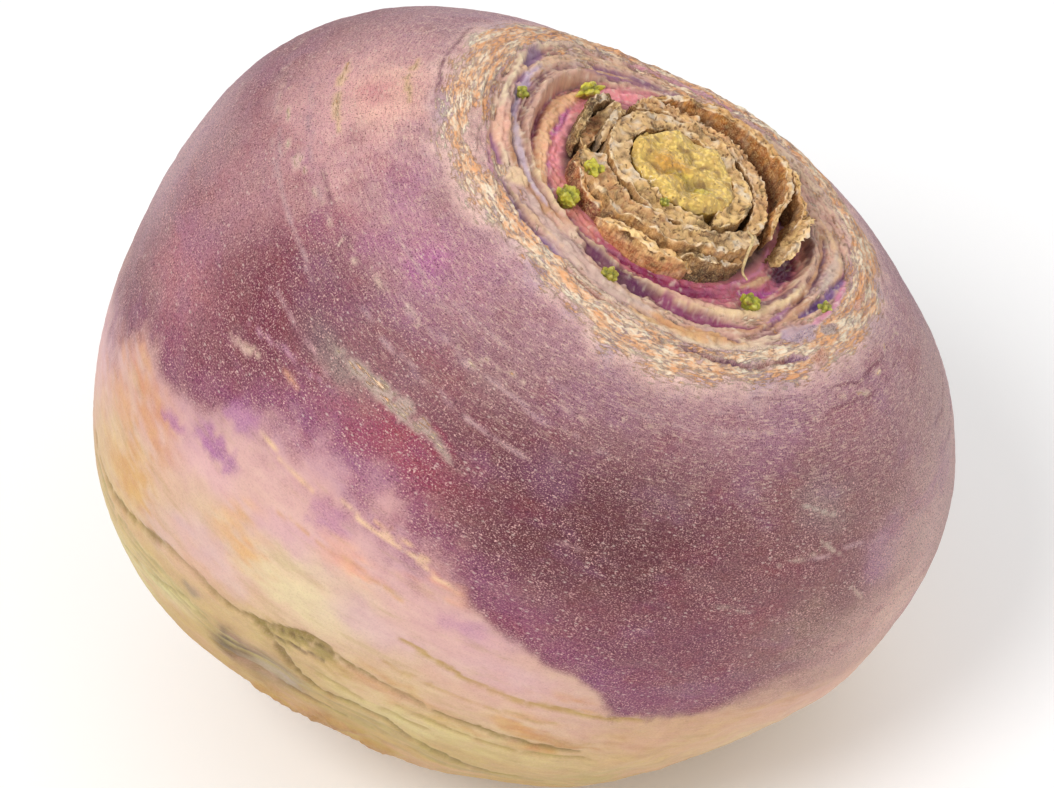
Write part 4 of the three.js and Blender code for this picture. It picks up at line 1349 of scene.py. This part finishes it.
def crown():
    cut_stem()
    leaf_base("leaf_base_inner", [
        sheath(
            [(-52, 8.6, 1.2, 44.8), (-25, 8.4, 1.3, 45.0), (0, 8.3, 1.3, 45.0), (45, 8.4, 1.3, 45.1),
             (90, 8.6, 1.5, 45.0),
             (135, 8.8, 1.6, 44.8), (180, 8.6, 1.5, 44.8), (225, 8.5, 1.5, 44.9), (270, 8.8, 1.6, 45.0),
             (290, 9.0, 1.5, 45.0), (305, 9.0, 1.2, 44.8)],
            [(0, "e3d2a4"), (0.3, "dfc79e"), (0.5, "cfb794"), (0.62, "d9c9b0"), (0.8, "dcc498"),
             (1, "e6d4aa")],
            "bf9f70", "5c4430", 100, ruffle=0.45, lumps=0.3, pits=0.22,
        ),
    ])
    leaf_base("leaf_base_toothed", [
        sheath(
            [(-27, 11.0, 0.8, 44.3), (-10, 11.2, 1.0, 44.5), (20, 11.3, 1.05, 44.7), (50, 11.4, 1.05, 44.7),
             (80, 11.5, 1.0, 44.6), (105, 11.8, 1.0, 44.4), (126, 12.2, 0.9, 44.2)],
            [(0, "d8c09a"), (0.3, "dfbf9c"), (0.7, "dab893"), (1, "c4a684")],
            "7a5434", "3d2618", 120, inner_wall="a98458", ruffle=0.35, lumps=0.3, teeth=0.35, pits=0.18,
        ),
    ])
    leaf_base("leaf_base_second", [
        sheath(
            [(188, 12.2, 1.4, 44.0), (205, 12.5, 1.9, 44.5), (225, 12.5, 2.0, 44.4), (245, 12.4, 1.9, 44.6),
             (265, 12.7, 1.7, 45.2), (282, 12.9, 1.5, 45.5), (300, 12.8, 1.5, 45.6),
             (318, 12.2, 1.4, 45.3), (331, 11.5, 1.1, 44.9)],
            [(0, "dcc49a"), (0.25, "cda482"), (0.45, "c4a584"), (0.6, "cbb593"), (0.75, "b29d80"),
             (0.88, "dfd6c8"), (1, "d3bf9e")],
            "cba97c", "5a3e2a", 140, inner_wall="80603f", ruffle=0.55, lumps=0.4, pits=0.25,
        ),
        sheath(
            [(196, 14.2, 0.3, 43.2), (208, 14.7, 0.35, 43.6), (222, 14.8, 0.3, 43.1),
             (236, 14.6, 0.3, 43.4)],
            [(0, "c99a7a"), (1, "dcb98c")], "b9775c", "7a3d3a", 150, ruffle=0.5, lumps=0.35,
        ),
        sheath(
            [(270, 14.7, 0.3, 43.6), (280, 15.0, 0.4, 44.4), (292, 14.9, 0.45, 44.3),
             (304, 14.5, 0.4, 44.0), (316, 14.2, 0.3, 43.3)],
            [(0, "a8967a"), (0.35, "5c5040"), (0.6, "a08a6c"),
             (1, "dcb88c")], "9a7c58", "24160f", 160, ruffle=0.6, lumps=0.45,
        ),
        tube(
            [(9.2, -7.6, 45.7), (9.7, -9.3, 46.1), (9.6, -11.2, 45.0), (9.9, -12.4, 43.4), (10.9, -12.9, 42.8)],
            0.2, "dcc491",
        ),
    ])
    leaf_base("leaf_base_left", [
        sheath(
            [(132, 13.6, 0.4, 43.9), (145, 13.9, 0.5, 44.7), (158, 13.8, 0.5, 44.8),
             (170, 13.6, 0.55, 44.4), (186, 13.4, 0.4, 43.7)],
            [(0, "a8967a"), (0.25, "6a5f50"), (0.55, "554b40"), (0.75, "857458"), (1, "c7ad86")],
            "8c7658", "4a362a", 170, ruffle=0.8, lumps=0.45, pits=0.3,
        ),
        sheath(
            [(130, 12.0, 1.0, 43.9), (142, 12.0, 1.1, 44.1), (155, 12.2, 1.1, 42.7),
             (168, 12.2, 1.0, 42.5), (184, 12.3, 1.0, 43.2)],
            [(0, "b9a588"), (0.35, "a8937a"), (0.5, "d09a7e"), (0.75, "d8a98a"), (1, "cbb08a")],
            "b8926e", "5a4030", 180, ruffle=0.5, lumps=0.35, pits=0.15,
        ),
        sheath(
            [(134, 10.8, 0.5, 44.6), (150, 10.8, 0.6, 45.0), (163, 10.8, 0.5, 44.7),
             (180, 10.8, 0.45, 44.3)],
            [(0, "c2b296"), (0.5, "a89a84"), (1, "cfbfa2")], "a08a6c", "4a362a", 190, ruffle=0.6, lumps=0.4,
        ),
    ])
    leaf_base("leaf_base_tall", [
        sheath(
            [(-13, 13.5, 0.35, 43.8), (-5, 12.9, 0.4, 44.6), (5, 13.3, 0.4, 45.0), (15, 14.7, 0.4, 45.3),
             (25, 15.8, 0.4, 45.5),
             (38, 16.1, 0.45, 45.5), (55, 15.9, 0.5, 45.4), (75, 15.1, 0.5, 45.1),
             (92, 14.3, 0.45, 44.7), (106, 13.5, 0.4, 44.2), (120, 12.9, 0.35, 43.6)],
            [(0, "cfb48c"), (0.3, "d9bb90"), (0.6, "cfac80"), (1, "bf9f74")],
            "bd9a6e", "84502a", 200, inner_wall="cc9458", flare=0.4, ruffle=0.35, lumps=0.3, pits=0.05,
        ),
        sheath(
            [(-4, 16.4, 0.3, 43.6), (10, 17.0, 0.35, 44.6), (30, 17.2, 0.4, 44.9), (55, 16.9, 0.4, 44.7),
             (78, 16.2, 0.4, 44.3), (98, 15.4, 0.35, 43.6)],
            [(0, "c7a878"), (0.5, "dcbd92"),
             (1, "bd9a6e")], "c29c70", "6a4528", 210, flare=0.3, ruffle=0.45, lumps=0.4, pits=0.05,
        ),
    ])
    leaf_base("leaf_base_frill", [
        sheath(
            [(-20, 14.3, 0.25, 42.8), (-13, 15.2, 0.3, 44.3), (-6, 15.7, 0.3, 44.8),
             (2, 16.0, 0.3, 45.0), (9, 16.2, 0.3, 44.4), (15, 16.4, 0.25, 43.4)],
            [(0, "e6d6b4"), (0.4, "f2e6d0"), (0.7, "e2cfac"), (1, "d2b88c")],
            "e2cda4", "8e6e4c", 220, flare=2.2, ruffle=0.9, lumps=0.7, pits=0.1,
        ),
    ])
    leaf_base("leaf_base_pale", [
        sheath(
            [(232, 15.0, 0.4, 42.6), (243, 15.4, 0.65, 43.5), (256, 15.5, 0.75, 43.8),
             (269, 15.4, 0.65, 43.7), (284, 15.1, 0.4, 43.0)],
            [(0, "f0d4a8"), (0.4, "faeac4"), (0.8, "f0d6a8"), (1, "c89c68")],
            "f6dcb0", "c08468", 230, flare=0.3, ruffle=0.4, lumps=0.35, pits=0.1,
            dents=[(250, 42.9, 1.0, 0.55, 0.7), (262, 43.1, 0.45, 0.35, 0.4), (268, 42.6, 0.4, 0.4, 0.4)],
        ),
    ])
    bud(1, 211.5, 13.6, 43.5, 1.4, "b5b24a")
    bud(2, 219, 17, POCKET_FLOOR - 0.2, 1.7, "a8a844")
    bud(3, 136, 17.2, POCKET_FLOOR, 1.0, "c3bf50", stretch=2.3, height=1.5)
    bud(4, 168.6, 21.7, ledge_height(168.6, 21.7) - 0.5, 1.0, "8f9440")
    bud(5, 252.8, 22.2, ledge_height(252.8, 22.2) - 0.7, 1.2, "8f8a35")
    bud(6, 308.4, 19.6, POCKET_FLOOR, 1.5, "93982f")
    bud(7, 334.7, 24.4, ledge_height(334.7, 24.4) - 0.4, 1.0, "8a8f4a")
    bud(8, 256, 8.7, 44.7, 0.7, "8a8a3c")


DRY_LEAF, GREEN_BUD = dry_leaf_material(), bud_material()
turnip_root()
crown()


# ---------------------------------------------------------------- table, light and camera

def table_top():
    mesh = bpy.data.meshes.new("table")
    far = 3.0
    mesh.from_pydata([(-far, -far, 0), (far, -far, 0), (far, far, 0), (-far, far, 0)], [], [(0, 1, 2, 3)])
    material, bench = new_material("table_white")
    place = bench.add("ShaderNodeTexCoord").outputs["Object"]
    grain = bench.noise(place, 900.0, 2.0)
    colour = bench.mix(grain, "fcfcfc", "ffffff")
    glow = {"Emission_Color": (1, 1, 1, 1), "Emission_Strength": 0.05}
    finish_material(bench, colour, 0.7, grain, 0.02, strength=0.2, **glow)
    mesh.materials.append(material)
    table = bpy.data.objects.new("table", mesh)
    bpy.context.scene.collection.objects.link(table)


def soft_light(name, place, aim, size, power):
    light = bpy.data.lights.new(name, "AREA")
    light.shape = "DISK"
    light.size = size
    light.energy = power
    lamp = bpy.data.objects.new(name, light)
    lamp.location = place
    lamp.rotation_euler = (Vector(aim) - Vector(place)).to_track_quat("-Z", "Y").to_euler()
    bpy.context.scene.collection.objects.link(lamp)


def studio():
    world = bpy.data.worlds.new("studio")
    world.use_nodes = True
    world.node_tree.nodes["Background"].inputs["Color"].default_value = (1, 1, 1, 1)
    world.node_tree.nodes["Background"].inputs["Strength"].default_value = 0.64
    bpy.context.scene.world = world
    bpy.context.scene.view_settings.view_transform = "Standard"
    middle = (0, 0, 0.045)
    soft_light("key_light", (-0.35, -0.45, 0.75), middle, size=0.35, power=3.75)
    soft_light("fill_light", (0.7, -0.5, 0.5), middle, size=0.7, power=0.9)
    soft_light("back_light", (0.1, 0.7, 0.6), middle, size=0.6, power=1.0)


def front_camera():
    """Looks down on the front of the turnip from far off, with a long lens."""
    elevation = math.radians(42.5)
    distance, right, up = 0.560, 0.0006, 0.00193
    back = Vector((0, -math.cos(elevation), math.sin(elevation)))
    upward = Vector((0, math.sin(elevation), math.cos(elevation)))
    centre = Vector(CENTRE * MM)
    lens = bpy.data.cameras.new("camera")
    lens.lens = 147.3
    lens.sensor_width = 36
    lens.clip_start = 0.01
    camera = bpy.data.objects.new("camera", lens)
    camera.location = centre + back * distance + Vector((right, 0, 0)) + upward * up
    camera.rotation_euler = (math.pi / 2 - elevation, 0, 0)
    bpy.context.scene.collection.objects.link(camera)
    bpy.context.scene.camera = camera


table_top()
studio()
front_camera()
